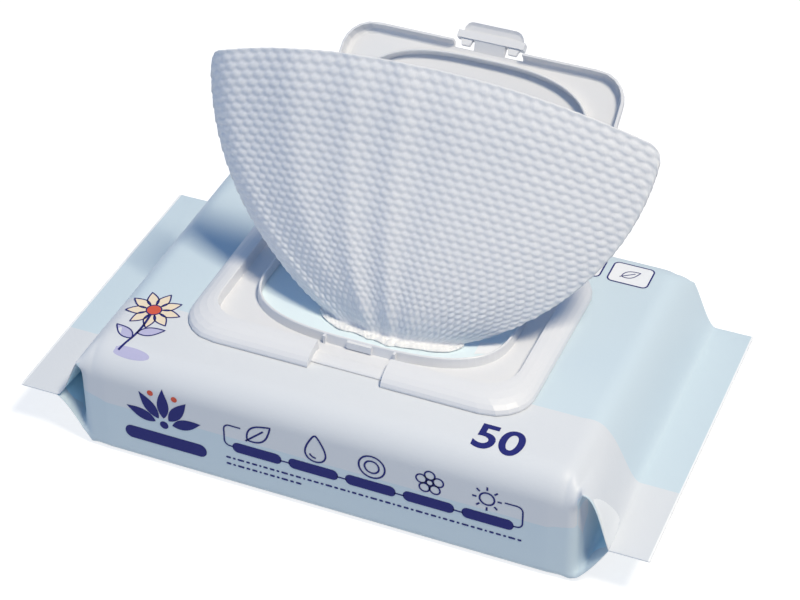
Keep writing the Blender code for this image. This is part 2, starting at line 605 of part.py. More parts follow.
def make_lid(material):
    axis = np.array([0.0, HINGE_Y, HINGE_Z])
    points, faces = loft(lid_rings())
    lid = make_object("lid", points - axis, faces, material)
    bar_back = LID_FRONT - TAB_BAR_BACK
    bar_front = bar_back - TAB_BAR_DEPTH
    slot_back = LID_FRONT + TAB_SLOT_DEPTH
    top = LID_TOP - 0.1
    bar_foot = top - TAB_BAR_HEIGHT
    stem = [(slot_back + 0.5, LID_UNDERSIDE), (slot_back, LID_UNDERSIDE), (bar_back - 0.5, bar_foot),
            (bar_back - 0.5, top), (slot_back + 0.5, top)]
    parts = [
        ("cut_tab_slots", box(-NOTCH_HALF_WIDTH, NOTCH_HALF_WIDTH, LID_FRONT - 1.0, slot_back,
                              LID_FOOT - 1.0, LID_TOP + 1.0), "DIFFERENCE"),
        ("tab_stem", extrude_x(stem, -TAB_STEM_HALF_WIDTH, TAB_STEM_HALF_WIDTH), "UNION"),
        ("tab_bar", box(LID_CLEARANCE - NOTCH_HALF_WIDTH, NOTCH_HALF_WIDTH - LID_CLEARANCE, bar_front, bar_back,
                        bar_foot, top), "UNION"),
        ("tab_lip", lip_shape(bar_front, top), "UNION"),
        ("hinge_web", box(-WEB_HALF_LENGTH, WEB_HALF_LENGTH, LID_BACK - 0.9, HINGE_Y - SEAT_GAP / 2.0,
                          HINGE_Z - WEB_THICKNESS / 2.0, HINGE_Z + WEB_THICKNESS / 2.0), "UNION"),
    ]
    hook_top = LID_UNDERSIDE - 0.2
    for side, x in (("left", -HOOK_X), ("right", HOOK_X)):
        parts.append(("tab_hook_" + side, hook_shape(x, bar_back, hook_top), "UNION"))
    for name, shape, operation in parts:
        helper = tool(name, shape, axis)
        helper.parent = lid
        combine(lid, helper, operation)
    lid.location = axis * MM
    lid.rotation_euler = (-math.radians(OPEN_ANGLE), 0.0, 0.0)
    return lid


def main():
    remove_everything()
    film = finish_material("printed_film", (0.61, 0.72, 0.78), 0.42)
    plastic = finish_material("white_plastic", (0.78, 0.78, 0.80), 0.38)
    cloth = finish_material("wipe_cloth", (0.74, 0.75, 0.79), 0.9)
    make_pouch(film)
    make_stack(cloth)
    make_pulled_wipe(cloth)
    make_frame(plastic)
    make_lid(plastic)


main()
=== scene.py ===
# %% [markdown]
# # An open pack of wet wipes
#
# This lesson dresses a wipes pack: a pouch of printed film, a white moulded closure that stands open,
# and one embossed wipe that fans out of the slot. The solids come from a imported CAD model. They are
# loaded as a fixed frame, and every new piece is laid on them in the same coordinates, in metres.

import math

import bmesh
import bpy
import numpy as np
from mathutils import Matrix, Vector


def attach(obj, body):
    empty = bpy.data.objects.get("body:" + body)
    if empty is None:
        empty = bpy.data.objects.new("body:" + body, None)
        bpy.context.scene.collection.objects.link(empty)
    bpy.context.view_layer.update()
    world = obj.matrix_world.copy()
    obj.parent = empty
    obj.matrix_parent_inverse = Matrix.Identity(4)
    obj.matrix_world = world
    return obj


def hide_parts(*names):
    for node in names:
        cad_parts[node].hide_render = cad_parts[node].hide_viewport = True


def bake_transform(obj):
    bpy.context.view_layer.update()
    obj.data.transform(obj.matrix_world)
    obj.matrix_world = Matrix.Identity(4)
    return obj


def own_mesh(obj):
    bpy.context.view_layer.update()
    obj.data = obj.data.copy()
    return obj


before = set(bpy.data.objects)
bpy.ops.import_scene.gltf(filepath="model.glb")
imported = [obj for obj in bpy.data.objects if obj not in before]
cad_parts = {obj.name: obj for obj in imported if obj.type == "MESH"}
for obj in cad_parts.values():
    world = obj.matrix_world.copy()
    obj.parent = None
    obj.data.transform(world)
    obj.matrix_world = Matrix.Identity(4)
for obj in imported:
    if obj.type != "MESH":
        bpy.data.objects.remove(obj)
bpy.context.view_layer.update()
MM = 0.001
print("frame nodes:", sorted(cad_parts))

# %% [markdown]
# ## Camera
#
# A product photo like this one is taken with a long lens, so that the pack's edges stay nearly
# parallel. The camera stands in front of the pack, to the right and above, and the lens is fitted to
# the pack's straight edges.

# %% Camera
CAMERA_AT = Vector((0.25020, -0.59651, 0.55837))
LOOKS_AT = Vector((-0.0201, 0.0562, 0.0))
lens = bpy.data.cameras.new("camera")
lens.lens, lens.sensor_width, lens.clip_start = 102.4, 36.0, 0.01
camera = bpy.data.objects.new("camera", lens)
bpy.context.scene.collection.objects.link(camera)
camera.location = CAMERA_AT
camera.rotation_euler = (LOOKS_AT - CAMERA_AT).to_track_quat("-Z", "Y").to_euler()
bpy.context.scene.camera = camera
print("camera distance", round((LOOKS_AT - CAMERA_AT).length, 3))

# %% [markdown]
# ## Mesh helpers
#
# Most pieces here are a grid of points worked out with numpy: rows run along one parameter, columns
# along the other. A closed skin wraps one of the two. The helpers turn such a grid into quads.

# %% Grid helpers
def quads_between(index):
    """Quads between the neighbouring rows and columns of an array of point numbers."""
    return np.stack([index[:-1, :-1], index[:-1, 1:], index[1:, 1:], index[1:, :-1]], -1).reshape(-1, 4)


def grid_quads(rows, columns, wrap_columns=False):
    """Quads of a grid of rows x columns points, numbered row by row."""
    index = np.arange(rows * columns).reshape(rows, columns)
    if wrap_columns:
        index = np.hstack([index, index[:, :1]])
    return quads_between(index)


def mesh_object(name, points, faces, outwards=True, smooth=True):
    """A mesh object at the origin from an array of points in millimetres."""
    mesh = bpy.data.meshes.new(name)
    corners = np.asarray(points, float).reshape(-1, 3) * MM
    mesh.from_pydata(corners.tolist(), [], [list(map(int, face)) for face in faces])
    if outwards:
        bm = bmesh.new()
        bm.from_mesh(mesh)
        bmesh.ops.recalc_face_normals(bm, faces=bm.faces)
        bm.to_mesh(mesh)
        bm.free()
    if smooth:
        mesh.shade_smooth()
    thing = bpy.data.objects.new(name, mesh)
    bpy.context.scene.collection.objects.link(thing)
    return thing


def tube_object(name, rings):
    """A closed tube through rings of points, with a face over each end."""
    rows, around = rings.shape[:2]
    faces = grid_quads(rows, around, wrap_columns=True).tolist()
    faces += [list(range(around)), list(range((rows - 1) * around, rows * around))]
    return mesh_object(name, rings, faces)


def ribbon(path, tangent, width):
    """Both edges of a ribbon along a flat path: the path minus and plus half the width along its normal."""
    tangent = tangent / np.maximum(np.linalg.norm(tangent, axis=1, keepdims=True), 1e-9)
    side = np.stack([-tangent[:, 1], tangent[:, 0]], -1) * width / 2
    return np.stack([path - side, path + side], 1)


print("one grid of 3 x 3 points has", len(grid_quads(3, 3)), "quads")

# %% [markdown]
# ## Shape of the film
#
# The pouch is a tube of film, sealed flat at both ends, with its sides folded inwards near the seals.
# Its section is a function of the place along the pack, x, and of a walk round the tube. Lofting a
# few rings by hand would show facets on the soft shoulders, so the section is a formula.

# %% Sizes of the pouch, in millimetres
PACK_HALF, FIN_START, FIN_HEIGHT, FIN_HALF_WIDTH = 120.0, 105.5, 18.5, 64.2
FIN_SKIN = 0.7
BODY_HALF_WIDTH, BODY_HEIGHT = 65.8, 44.6
SHOULDER_START, GUSSET_START, CORNER_START, CORNER_ROUND = 84.0, 93.5, 90.5, 4.5
TOP_RADIUS, BOTTOM_RADIUS, CREASE_RADIUS = 11.0, 3.5, 0.3
GUSSET_PANEL = 20.5
RISE_START, BULGE_START, BULGE = 92.0, 93.0, 9.5
FALL_POWER, RISE_POWER = 1.57, 1.45
TOP_SHARES = np.concatenate([np.linspace(0.0, 0.73, 15), np.linspace(0.73, 1.0, 6)[1:]])
print("pack:", 2 * PACK_HALF, "mm long,", 2 * BODY_HALF_WIDTH, "mm wide and", BODY_HEIGHT, "mm high")


# %% Section of the pouch
def share(x, start, end):
    """0 up to start, 1 from end on, straight in between, for the distance from the middle."""
    return np.clip((np.abs(x) - start) / (end - start), 0.0, 1.0)


def film_half(x, front):
    """Outward distance and height round half the tube, from the middle of the top to that of the underside.

    The top falls as (1 + cos(pi s ** 1.57)) / 2 for the share s of the shoulder. The underside rises as
    1 - (1 - s) ** 1.45 at the left end and s ** 1.45 at the right one. The side is folded in by a depth
    times 1 - |q| ** p, where q runs from 1 through 0 to -1 down the side, and p falls from 8, a trough,
    to 1, a V.
    """
    x = np.asarray(x, float)[:, None]
    tuck, flare = share(x, GUSSET_START, FIN_START), share(x, SHOULDER_START, FIN_START)
    soft = (1.0 - share(x, CORNER_START - 1.5, GUSSET_START + 1.5)) ** 0.6
    rise = share(x, RISE_START, FIN_START)
    rise = np.where(x < 0, 1.0 - (1.0 - rise) ** RISE_POWER, rise ** RISE_POWER)
    bulge = BULGE * np.sin(math.pi * share(x, BULGE_START, FIN_START) ** 1.15) * (x > 0) * front
    low, high = FIN_HEIGHT - FIN_SKIN / 2, FIN_HEIGHT + FIN_SKIN / 2
    middle_top = high + (BODY_HEIGHT - high) * 0.5 * (1.0 + np.cos(math.pi * flare ** FALL_POWER))
    bottom = low * rise
    half_panel = (middle_top + bulge - bottom) / 2
    turn = np.clip(np.abs(x) - CORNER_START, 0.0, CORNER_ROUND * 0.98)
    corner = CORNER_ROUND - np.sqrt(CORNER_ROUND ** 2 - turn ** 2)
    panel = np.sqrt(np.maximum(GUSSET_PANEL ** 2 - half_panel ** 2, 0.0))
    into = share(x, CORNER_START + CORNER_ROUND, CORNER_START + CORNER_ROUND + 3.0)
    depth = np.where(np.abs(x) >= FIN_START, 0.0, corner + (panel - corner) * into * into * (3 - 2 * into))
    half_width = BODY_HALF_WIDTH + (FIN_HALF_WIDTH - BODY_HALF_WIDTH) * flare
    high_radius = CREASE_RADIUS + (TOP_RADIUS - CREASE_RADIUS) * soft
    low_radius = CREASE_RADIUS + (BOTTOM_RADIUS - CREASE_RADIUS) * soft

    across = TOP_SHARES[None] * (half_width - high_radius)
    lift = bulge * (across / half_width) ** 4
    top = np.stack(np.broadcast_arrays(across, middle_top + lift), -1)
    edge_top = top[:, -1:, 1]
    turn = np.linspace(0.0, math.pi / 2, 12)[None, 1:]
    high_arc = np.stack([half_width - high_radius * (1 - np.sin(turn)),
                         edge_top - high_radius * (1 - np.cos(turn))], -1)
    side_high, side_low = edge_top - high_radius, bottom + low_radius
    down = np.linspace(0.0, 1.0, 27)[None, 1:-1]
    power = 8.0 ** (1.0 - tuck)
    fold = 1.0 - np.abs(2 * down - 1) ** power
    side = np.stack([half_width - depth * fold, side_high + (side_low - side_high) * down], -1)
    turn = np.linspace(0.0, math.pi / 2, 12)[None, :]
    low_arc = np.stack([half_width - low_radius * (1 - np.cos(turn)),
                        bottom + low_radius * (1 - np.sin(turn))], -1)
    across = TOP_SHARES[::-1][None, 1:] * (half_width - low_radius)
    under = np.stack(np.broadcast_arrays(across, bottom), -1)
    return np.concatenate([top, high_arc, side, low_arc, under], 1)


# %% Stations along the pack
# Stations along half the pack, closest together where the side folds in
half_side = np.concatenate([np.linspace(0, 60, 25), np.linspace(60, 84, 10)[1:], np.linspace(84, 96, 22)[1:],
                            np.linspace(96, 105.2, 18)[1:], [FIN_START, FIN_START + 0.5],
                            np.linspace(107, 119.4, 9), [119.8, PACK_HALF]])
stations = np.concatenate([-half_side[:0:-1], half_side])
front_half, back_half = film_half(stations, 1.0), film_half(stations, 0.0)
print("film:", len(stations), "stations of", 2 * front_half.shape[1] - 2, "points")

# %% [markdown]
# ## Film pouch
#
# The two halves make one ring at every station, cut open along the middle of the underside, where the
# real tube has its lengthways seam. The walk's length from the middle of the top is kept as a UV map in
# millimetres, u along the pack and v round it, because the print follows the film and not the room it
# stands in. The oval slot is a set of rings between a rectangle of the grid and the oval.

# %% Rings and print coordinates
def walk_length(half):
    """Length along each half section from the middle of the top, by summing the chords."""
    steps = np.linalg.norm(np.diff(half, axis=1), axis=2)
    return np.concatenate([np.zeros((len(half), 1)), np.cumsum(steps, 1)], 1)


def film_waves(x, y):
    """Height change of the loose film: sums of sines on the shoulders and fins, none under the closure."""
    slow = np.sin(y / 17.0 + 0.8 * np.sign(x)) + 0.6 * np.sin(y / 8.3 + x / 19.0)
    on_shoulder = 0.10 * np.sin(math.pi * share(x, 80.0, 106.0)) * slow
    return on_shoulder + 0.14 * share(x, 98.0, 112.0) * np.sin(y / 21.0 + x / 30.0)


WAVES_FROM_HEIGHT, PRINT_STRETCH = 14.0, 0.123
half_count = front_half.shape[1]
film_y = np.hstack([-front_half[:, ::-1, 0], back_half[:, 1:, 0]])
film_z = np.hstack([front_half[:, ::-1, 1], back_half[:, 1:, 1]])
film_x = np.broadcast_to(stations[:, None], film_y.shape)
film_z = film_z + film_waves(film_x, film_y) * (film_z > WAVES_FROM_HEIGHT)
print_stretch = 1.0 + PRINT_STRETCH * share(stations, SHOULDER_START, FIN_START)[:, None]
film_v = np.hstack([-walk_length(front_half)[:, ::-1], walk_length(back_half)[:, 1:]]) * print_stretch
print("way round the film:", round(float(2 * film_v[len(stations) // 2, -1]), 1), "mm")

# %% Slot and the rings round it
SLOT_CENTRE_X, SLOT_HALF_LENGTH, SLOT_HALF_WIDTH, SLOT_POWER = 4.5, 28.0, 19.4, 2.8
PANEL_X, PANEL_COLUMNS = 60.0, 14


def slot_point(angle):
    """Point of the slot's edge in the direction of an angle: |x/a| ** p + |y/b| ** p = 1."""
    c, s = np.cos(angle), np.sin(angle)
    power = np.abs(c / SLOT_HALF_LENGTH) ** SLOT_POWER + np.abs(s / SLOT_HALF_WIDTH) ** SLOT_POWER
    reach = power ** (-1 / SLOT_POWER)
    return np.stack([SLOT_CENTRE_X + reach * c, reach * s], -1)


def make_film():
    """The tube's quads without the panel round the slot, rings that fill the panel, and a strip at each end.

    The rings stand at shares k ** 0.8 of the way from the panel's border to the slot, whose lip stands up
    by 0.35 exp(-distance / 2.6).
    """
    rows, around = film_x.shape
    tube = np.stack([film_x, film_y, film_z], -1).reshape(-1, 3)
    index = np.arange(rows * around).reshape(rows, around)
    first, last = np.flatnonzero(np.abs(stations) <= PANEL_X + 0.01)[[0, -1]]
    left, right = half_count - 1 - PANEL_COLUMNS, half_count - 1 + PANEL_COLUMNS
    keep = np.ones((rows - 1, around - 1), bool)
    keep[first:last, left:right] = False
    quads = grid_quads(rows, around)[keep.ravel()]
    loop = np.concatenate([index[first:last, left], index[last, left:right], index[last:first:-1, right],
                           index[first, right:left:-1]])
    border = tube[loop]
    angle = np.arctan2(border[:, 1], border[:, 0] - SLOT_CENTRE_X)
    edge = slot_point(angle)
    step = np.linspace(0.0, 1.0, 12)[1:, None, None] ** 0.8
    ring_xy = border[None, :, :2] * (1 - step) + edge[None] * step
    distance = np.linalg.norm(ring_xy - edge[None], axis=2)
    lip = 0.35 * np.exp(-distance / 2.6) * (0.6 + 0.4 * np.sin(3 * angle + 1.0))
    ripple = 0.05 * np.sin(ring_xy[..., 0] / 6.0) * (1 - np.exp(-distance / 6.0)) * step[..., 0]
    ring_z = BODY_HEIGHT + lip + ripple
    rings = np.concatenate([ring_xy, ring_z[..., None]], -1)
    ring_index = np.vstack([loop, rows * around + np.arange(ring_z.size).reshape(ring_z.shape)])
    patch = quads_between(np.hstack([ring_index, ring_index[:, :1]]))
    above = np.arange((half_count - 1) // 2)
    below = half_count - 1 - above
    ends = []
    for row in (0, rows - 1):
        for ring in (index[row, :half_count], index[row, half_count - 1:]):
            ends.append(np.stack([ring[above], ring[above + 1], ring[below - 1], ring[below]], -1))
    points = np.concatenate([tube, rings.reshape(-1, 3)])
    uv = np.concatenate([np.stack([film_x, film_v], -1).reshape(-1, 2), ring_xy.reshape(-1, 2)])
    return points, uv, np.concatenate([quads, patch, *ends])


# %% Film with its print map
MERGE, PRINT_UV = 0.01, "print_mm"


def clean_mesh(thing):
    """Merges doubled points, drops flat and loose bits, and turns the faces outwards."""
    bm = bmesh.new()
    bm.from_mesh(thing.data)
    bmesh.ops.remove_doubles(bm, verts=bm.verts, dist=MERGE * MM)
    bmesh.ops.dissolve_degenerate(bm, edges=bm.edges, dist=0.2 * MERGE * MM)
    bmesh.ops.delete(bm, geom=[v for v in bm.verts if not v.link_faces], context="VERTS")
    bmesh.ops.recalc_face_normals(bm, faces=bm.faces)
    bm.to_mesh(thing.data)
    bm.free()


def write_uv(thing, uv):
    """One UV pair a point, spread to the corners of the faces."""
    corner = np.zeros(len(thing.data.loops), int)
    thing.data.loops.foreach_get("vertex_index", corner)
    thing.data.uv_layers.new(name=PRINT_UV).data.foreach_set("uv", uv[corner].astype(np.float32).ravel())


film_points, film_uv, film_faces = make_film()
film = mesh_object("pouch_film", film_points, film_faces, outwards=False)
write_uv(film, film_uv)
clean_mesh(film)
print("film:", len(film.data.polygons), "faces")

# %% [markdown]
# ## Folded wipes inside
#
# The stack fills the pouch. Only its top shows through the slot, so its section is the film's own
# section drawn in a little, and its top carries the same pearls as the pulled sheet, pressed low.

# %% Pearl pattern
def pearls(a, b):
    """Close-packed pearls: one at every whole a and b, and one at every pair of halves.

    h = 2 cos(2 pi a) cos(2 pi b) + cos(4 pi b) is 3 at a pearl and between -1 and -1.5 in the grooves, and
    1 - ((3 - h) / 4.5) ** 2.2 makes the tops broad and the grooves narrow.
    """
    h = 2.0 * np.cos(2 * math.pi * a) * np.cos(2 * math.pi * b) + np.cos(4 * math.pi * b)
    return 1.0 - ((3.0 - h) / 4.5) ** 2.2


print("height at a pearl", pearls(0.0, 0.0), "and in a groove", round(float(pearls(0.5, 0.25)), 2))

# %% Stack of folded wipes
STACK_HALF, STACK_GAP, STACK_TOP = 92.0, 0.7, 43.0
# Each ring over an end: how far out it stands and how large it is
END_RINGS = ((0.5, 0.985), (0.7, 0.9), (0.8, 0.05))


def make_stack():
    """Rings of the film's section, shrunk by the gap all round, then three shrinking rings over each end.

    The pearls and a soft product of sines are added to the height where it is over 43 mm.
    """
    places = np.concatenate([np.linspace(0, 34, 60), np.linspace(34, 84, 26)[1:],
                             np.linspace(84, STACK_HALF, 10)[1:]])
    places = np.concatenate([-places[:0:-1], places])
    half = film_half(places, 0.0)
    half = half * [1 - STACK_GAP / BODY_HALF_WIDTH, 1 - 2 * STACK_GAP / BODY_HEIGHT] + [0.0, STACK_GAP]
    y = np.hstack([-half[:, ::-1, 0], half[:, 1:-1, 0]])
    z = np.hstack([half[:, ::-1, 1], half[:, 1:-1, 1]])
    x = np.broadcast_to(places[:, None], y.shape)
    on_top = np.clip((z - STACK_TOP) / 0.8, 0, 1) * (1 - share(x, 60, 80))
    soft = 0.18 * np.sin(x / 5.1 + 0.7 * np.sin(y / 4.0)) * np.cos(y / 6.3)
    z = z + on_top * (0.45 * pearls(x / 4.2, y / 7.3) - 0.42 + soft)
    rings = np.stack([x, y, z], -1)
    middle = np.array([0.0, 0.0, BODY_HEIGHT / 2])
    caps = [np.array([(end - middle) * [1, size, size] + middle + [way * out, 0, 0]
                      for out, size in END_RINGS])
            for end, way in ((rings[0], -1), (rings[-1], 1))]
    return tube_object("folded_wipes", np.concatenate([caps[0][::-1], rings, caps[1]]))


stack = make_stack()
print("folded wipes:", len(stack.data.polygons), "faces")

# %% [markdown]
# ## Pulled wipe
#
# The wipe is one sheet, squeezed together in the slot and spread above it. It could be simulated, but
# its folds are few and plainly visible, so they are written down: a fan whose width grows with the
# height and whose middle bows forward, soft folds that run up from the foot, a left margin that curls
# back, and a crumpled flap of the same sheet that lies over the slot's front edge.

# %% Fan of the wipe
FOOT_X, FOOT_Y, FOOT_Z = 5.0, -12.3, 45.35
LEAN = math.radians(25.3)
WIPE_HEIGHT, TOP_FALL, CORNER_RADIUS, CORNER_SHARE = 98.8, 13.5, 5.0, 0.94
FOOT_HALF, SPREAD, SPREAD_START, SPREAD_POWER = 24.6, 57.8, 0.81, 1.99
BOW_FOOT, BELLY, BOW_TOP, BOW_POWER, TIP_FORWARD = 4.8, 6.0, 17.6, 2.5, 10.0
DRIFT, TWIST, CURL, CURL_SHARE = 3.3, 5.3, 2.5, 0.10
# Each fold: its share u at the foot and at the top, half width in u, height at the foot and at the top
FOLDS = ((-0.63, -0.88, 0.080, 1.7, 1.3), (-0.42, -0.42, 0.100, -0.9, 0.0), (-0.30, -0.545, 0.085, 0.3, 1.0),
         (-0.19, -0.265, 0.060, 1.3, 0.8), (0.08, -0.05, 0.060, 1.3, 1.0), (0.26, 0.17, 0.080, 1.4, 0.3))


def wipe_points(u, s):
    """Middle surface of the fan at a share u of its half width and a share s of its height.

    half width = foot + spread * (1 - (1 - r ** 0.81) ** 1.99) for the height share r. The middle stands in
    front of the sides by a bow times 1 - |u| ** 2.5. Each fold is height * exp(-((u - place) / width) ** 2),
    whose place and height go from the foot's to the top's as 1 - exp(-r / 0.2) and 1 - exp(-r / 0.3).
    """
    corner = np.clip((np.abs(u) - CORNER_SHARE) / (1 - CORNER_SHARE), 0, 1)
    full = WIPE_HEIGHT - TOP_FALL * np.abs(u) ** 2.2
    v = s * (full - CORNER_RADIUS * (1 - np.sqrt(1 - corner ** 2)))
    r = v / (WIPE_HEIGHT - TOP_FALL)
    r = r - 1.5 * np.clip(r - 0.9, 0, 1) ** 2
    half_width = FOOT_HALF + SPREAD * (1 - (1 - np.clip(r, 0, 1) ** SPREAD_START) ** SPREAD_POWER)
    low, near = np.exp(-r / 0.2), np.exp(-r / 0.3)
    folds = sum((top + (foot - top) * near) * np.exp(-((u - end - (start - end) * low) / wide) ** 2)
                for start, end, wide, foot, top in FOLDS)
    waves = 0.22 * np.sin(2 * math.pi * (3.1 * u + 0.7 * r)) * np.exp(-r / 0.5)
    curl = CURL * np.clip((-u - (1 - CURL_SHARE)) / CURL_SHARE, 0, 1) ** 2 * np.clip(r / 0.15, 0, 1)
    bow = BOW_FOOT * (1 - r) + BELLY * np.sin(math.pi * r ** 0.6) + BOW_TOP * r
    bow = bow * (1 - np.abs(u) ** BOW_POWER) + TIP_FORWARD * r * r
    out = bow + (folds + waves) * np.clip(0.3 + 8 * r, 0, 1) - curl - TWIST * r * u
    x = FOOT_X + DRIFT * r + u * half_width
    y = FOOT_Y + v * math.sin(LEAN) - out * math.cos(LEAN)
    z = FOOT_Z + v * math.cos(LEAN) + out * math.sin(LEAN) * np.clip(8 * r, 0, 1)
    return np.stack([x, y, z], -1), r, v / full


# %% Pearls and thickness
SHEET_ROWS, SHEET_COLUMNS, BEND_ROWS, FLAP_ROWS = 198, 229, 3, 12
WIPE_THICKNESS, PEARL_HEIGHT, PEARLS_ACROSS, PEARLS_GATHERED = 0.42, 0.52, 39.0, 0.20
TOP_ROW, FOOT_ROW, BEND_RADIUS, FLAP_LEVEL, FLAP_LENGTH = 3.50, 2.00, 0.9, 45.30, 2.9


def surface_normal(points):
    """Cross product of the two grid directions, made one long."""
    n = np.cross(np.gradient(points, axis=1), np.gradient(points, axis=0))
    return n / np.maximum(np.linalg.norm(n, axis=2, keepdims=True), 1e-9)


def closed_sheet(name, middle, normal, thickness):
    """Front and back grids half the thickness off the middle, with a strip of quads round their edge."""
    rows, columns = middle.shape[:2]
    index = np.arange(rows * columns).reshape(rows, columns)
    front = grid_quads(rows, columns)
    edge = np.concatenate([index[0], index[1:, -1], index[-1, -2::-1], index[-2:0:-1, 0]])
    after = np.roll(edge, -1)
    far = rows * columns
    rim = np.stack([after, edge, edge + far, after + far], -1)
    points = np.concatenate([(middle + normal * thickness / 2).reshape(-1, 3),
                             (middle - normal * thickness / 2).reshape(-1, 3)])
    return mesh_object(name, points, np.concatenate([front, front[:, ::-1] + far, rim]))


def make_wipe():
    """The fan, then a quarter turn forward at its foot, then the flap, whose length waves along the slot.

    Rows of pearls lie 3.5 mm apart at the top and close up to 2 mm at the foot, so the row number is
    H / 1.5 * log(3.5 / (2 + 1.5 * part)) for the share part of the height H. The pearl number across is
    count / 2 * (0.94 u + 0.06 sin(pi u) / pi), and the count is a fifth smaller at the gathered foot.
    """
    across = np.linspace(-1, 1, SHEET_COLUMNS)
    u, s = np.meshgrid(across, np.linspace(0.013, 1, SHEET_ROWS))
    fan, rise, part = wipe_points(u, s)
    foot = fan[0]
    bend = np.linspace(math.pi / 2, 0, BEND_ROWS, endpoint=False)[:, None]
    drop = foot[:, 2] - FLAP_LEVEL
    turn = foot[None] + np.stack(np.broadcast_arrays(0.0, BEND_RADIUS * (np.cos(bend) - 1),
                                                     -drop * np.sin(bend)), -1)
    along = np.linspace(1, 0, FLAP_ROWS, endpoint=False)[:, None]
    length = FLAP_LENGTH + 0.40 * np.sin(9 * across + 1) + 0.12 * np.sin(23 * across)
    length = length * np.sqrt(1 - 0.97 * np.abs(across) ** 5)
    crumple = 0.5 + 0.5 * np.cos(2 * math.pi * (5.5 * across + 0.6 * np.sin(5 * across) + 0.4 * along))
    lift = 0.75 * np.sin(math.pi * along ** 0.7) * crumple + 0.05 * (1 + np.sin(19 * across + 4 * along))
    flap = foot[None] + np.stack([0.5 * np.sin(17 * across) * along, -BEND_RADIUS - length * along,
                                  lift * np.clip(3 * along, 0, 1) - 0.18 * along - drop], -1)
    middle = np.concatenate([flap, turn, fan])
    row = WIPE_HEIGHT / (TOP_ROW - FOOT_ROW) * np.log(TOP_ROW / (FOOT_ROW + (TOP_ROW - FOOT_ROW) * part))
    turn_row = np.broadcast_to(BEND_RADIUS * bend / FOOT_ROW, (BEND_ROWS, SHEET_COLUMNS))
    low_row = row[0] + np.concatenate([0.7 + length * along / FOOT_ROW, turn_row])
    row = np.concatenate([low_row, row])
    rise = np.concatenate([np.zeros_like(low_row), rise])
    count = PEARLS_ACROSS * (1 - PEARLS_GATHERED * np.exp(-rise / 0.07))
    place = 0.94 * across + 0.06 * np.sin(math.pi * across) / math.pi
    strength = np.clip(0.45 + rise / 0.1, 0, 1)
    height = PEARL_HEIGHT * strength * (pearls(count / 2 * place, row / 2) - 0.6)
    normal = surface_normal(middle)
    if normal[..., 1].mean() > 0:
        normal = -normal
    return closed_sheet("embossed_wipe", middle + normal * height[..., None], normal, WIPE_THICKNESS)


wipe = make_wipe()
print("wipe:", len(wipe.data.polygons), "faces")

# %% [markdown]
# ## Living hinge
#
# The lid and its frame are one moulding, joined by a thin strap that folds. The strap is a short
# section carried along the hinge line, drawn in the bent shape that it has between the two bodies.

# %% Hinge strap
STRAP_HALF_LENGTH, STRAP_THICKNESS, STRAP_PLACES = 44.0, 0.24, 45


def make_strap():
    """A path in the y-z plane, given half a thickness on both sides, carried along x."""
    path = np.array([(43.4, 49.74), (42.2, 49.74), (41.4, 49.75), (40.95, 49.80), (40.70, 49.92),
                     (40.60, 50.08), (40.68, 50.24), (40.92, 50.42), (41.25, 50.66)])
    edges = ribbon(path, np.gradient(path, axis=0), STRAP_THICKNESS)
    ring = np.concatenate([edges[:, 1], edges[::-1, 0]])
    places = np.linspace(-STRAP_HALF_LENGTH, STRAP_HALF_LENGTH, STRAP_PLACES)
    return tube_object("living_hinge", np.stack([np.insert(ring, 0, x, axis=1) for x in places]))


strap = make_strap()
print("hinge strap:", len(strap.data.polygons), "faces")

# %% [markdown]
# ## Printed marks
#
# The print is ink on the film. Painting it in a shader would blur at the edges, so each mark is a thin
# plate of ink, drawn flat in print coordinates and laid on the film's section. Fills and strokes are
# grids between two curves, so they bend with the rounded edge of the pack.

# %% Laying flat shapes on the film
middle_row = len(stations) // 2
section = np.stack([film_v[middle_row], film_y[middle_row], film_z[middle_row]])
section_turn = np.unwrap(np.arctan2(np.gradient(section[2]), np.gradient(section[1])))
# Way round the film from the middle of the top to height 0 on the front
FRONT_ZERO = 105.66


def on_film(x, v, lift):
    """Point of the film at print coordinates (x, v), raised along the film's normal."""
    y, z = np.interp(v, section[0], section[1]), np.interp(v, section[0], section[2])
    turn = np.interp(v, section[0], section_turn)
    return np.stack([x, y - lift * np.sin(turn), z + lift * np.cos(turn)], -1)


def front(z):
    """Way round the film of a height z on the front, where heights past the edge count on along the film."""
    return np.asarray(z, float) - FRONT_ZERO


marks_points, marks_faces, marks_ink = [], [], []


def lay(x, v, ink, lift):
    """Adds a grid of flat points as one mark of an ink."""
    base = sum(len(p) for p in marks_points)
    marks_points.append(on_film(x, v, lift).reshape(-1, 3))
    faces = grid_quads(*x.shape) + base
    marks_faces.extend(faces.tolist())
    marks_ink.extend([ink] * len(faces))


print("the front's foot is", FRONT_ZERO, "mm round the film")

# %% Strokes and fills
NAVY, WHITE, CREAM, CORAL, LILAC = range(5)
INK_LIFT, FILL_LIFT = 0.09, 0.05


def stroke(path, width, ink=NAVY, lift=INK_LIFT):
    """A ribbon of ink along a path of (x, v) points."""
    path = np.asarray(path, float)
    edges = ribbon(path, np.gradient(path, axis=0), width)
    lay(edges[..., 0], edges[..., 1], ink, lift)


def closed_stroke(path, width, ink=NAVY, lift=INK_LIFT):
    """A ribbon of ink round a closed path, whose tangent joins the points before and after each one."""
    path = np.asarray(path, float)
    edges = ribbon(path, np.roll(path, -1, 0) - np.roll(path, 1, 0), width)
    edges = np.concatenate([edges, edges[:1]])
    lay(edges[..., 0], edges[..., 1], ink, lift)


def fill(path, centre, ink, lift=FILL_LIFT, rings=6):
    """A closed outline, filled by rings that shrink to its centre."""
    path = np.asarray(path, float)
    path = np.concatenate([path, path[:1]])
    k = np.linspace(1.0, 0.0, rings)[:, None, None]
    grid = path[None] * k + np.asarray(centre, float) * (1 - k)
    lay(grid[..., 0], grid[..., 1], ink, lift)


print("inks:", LILAC + 1)

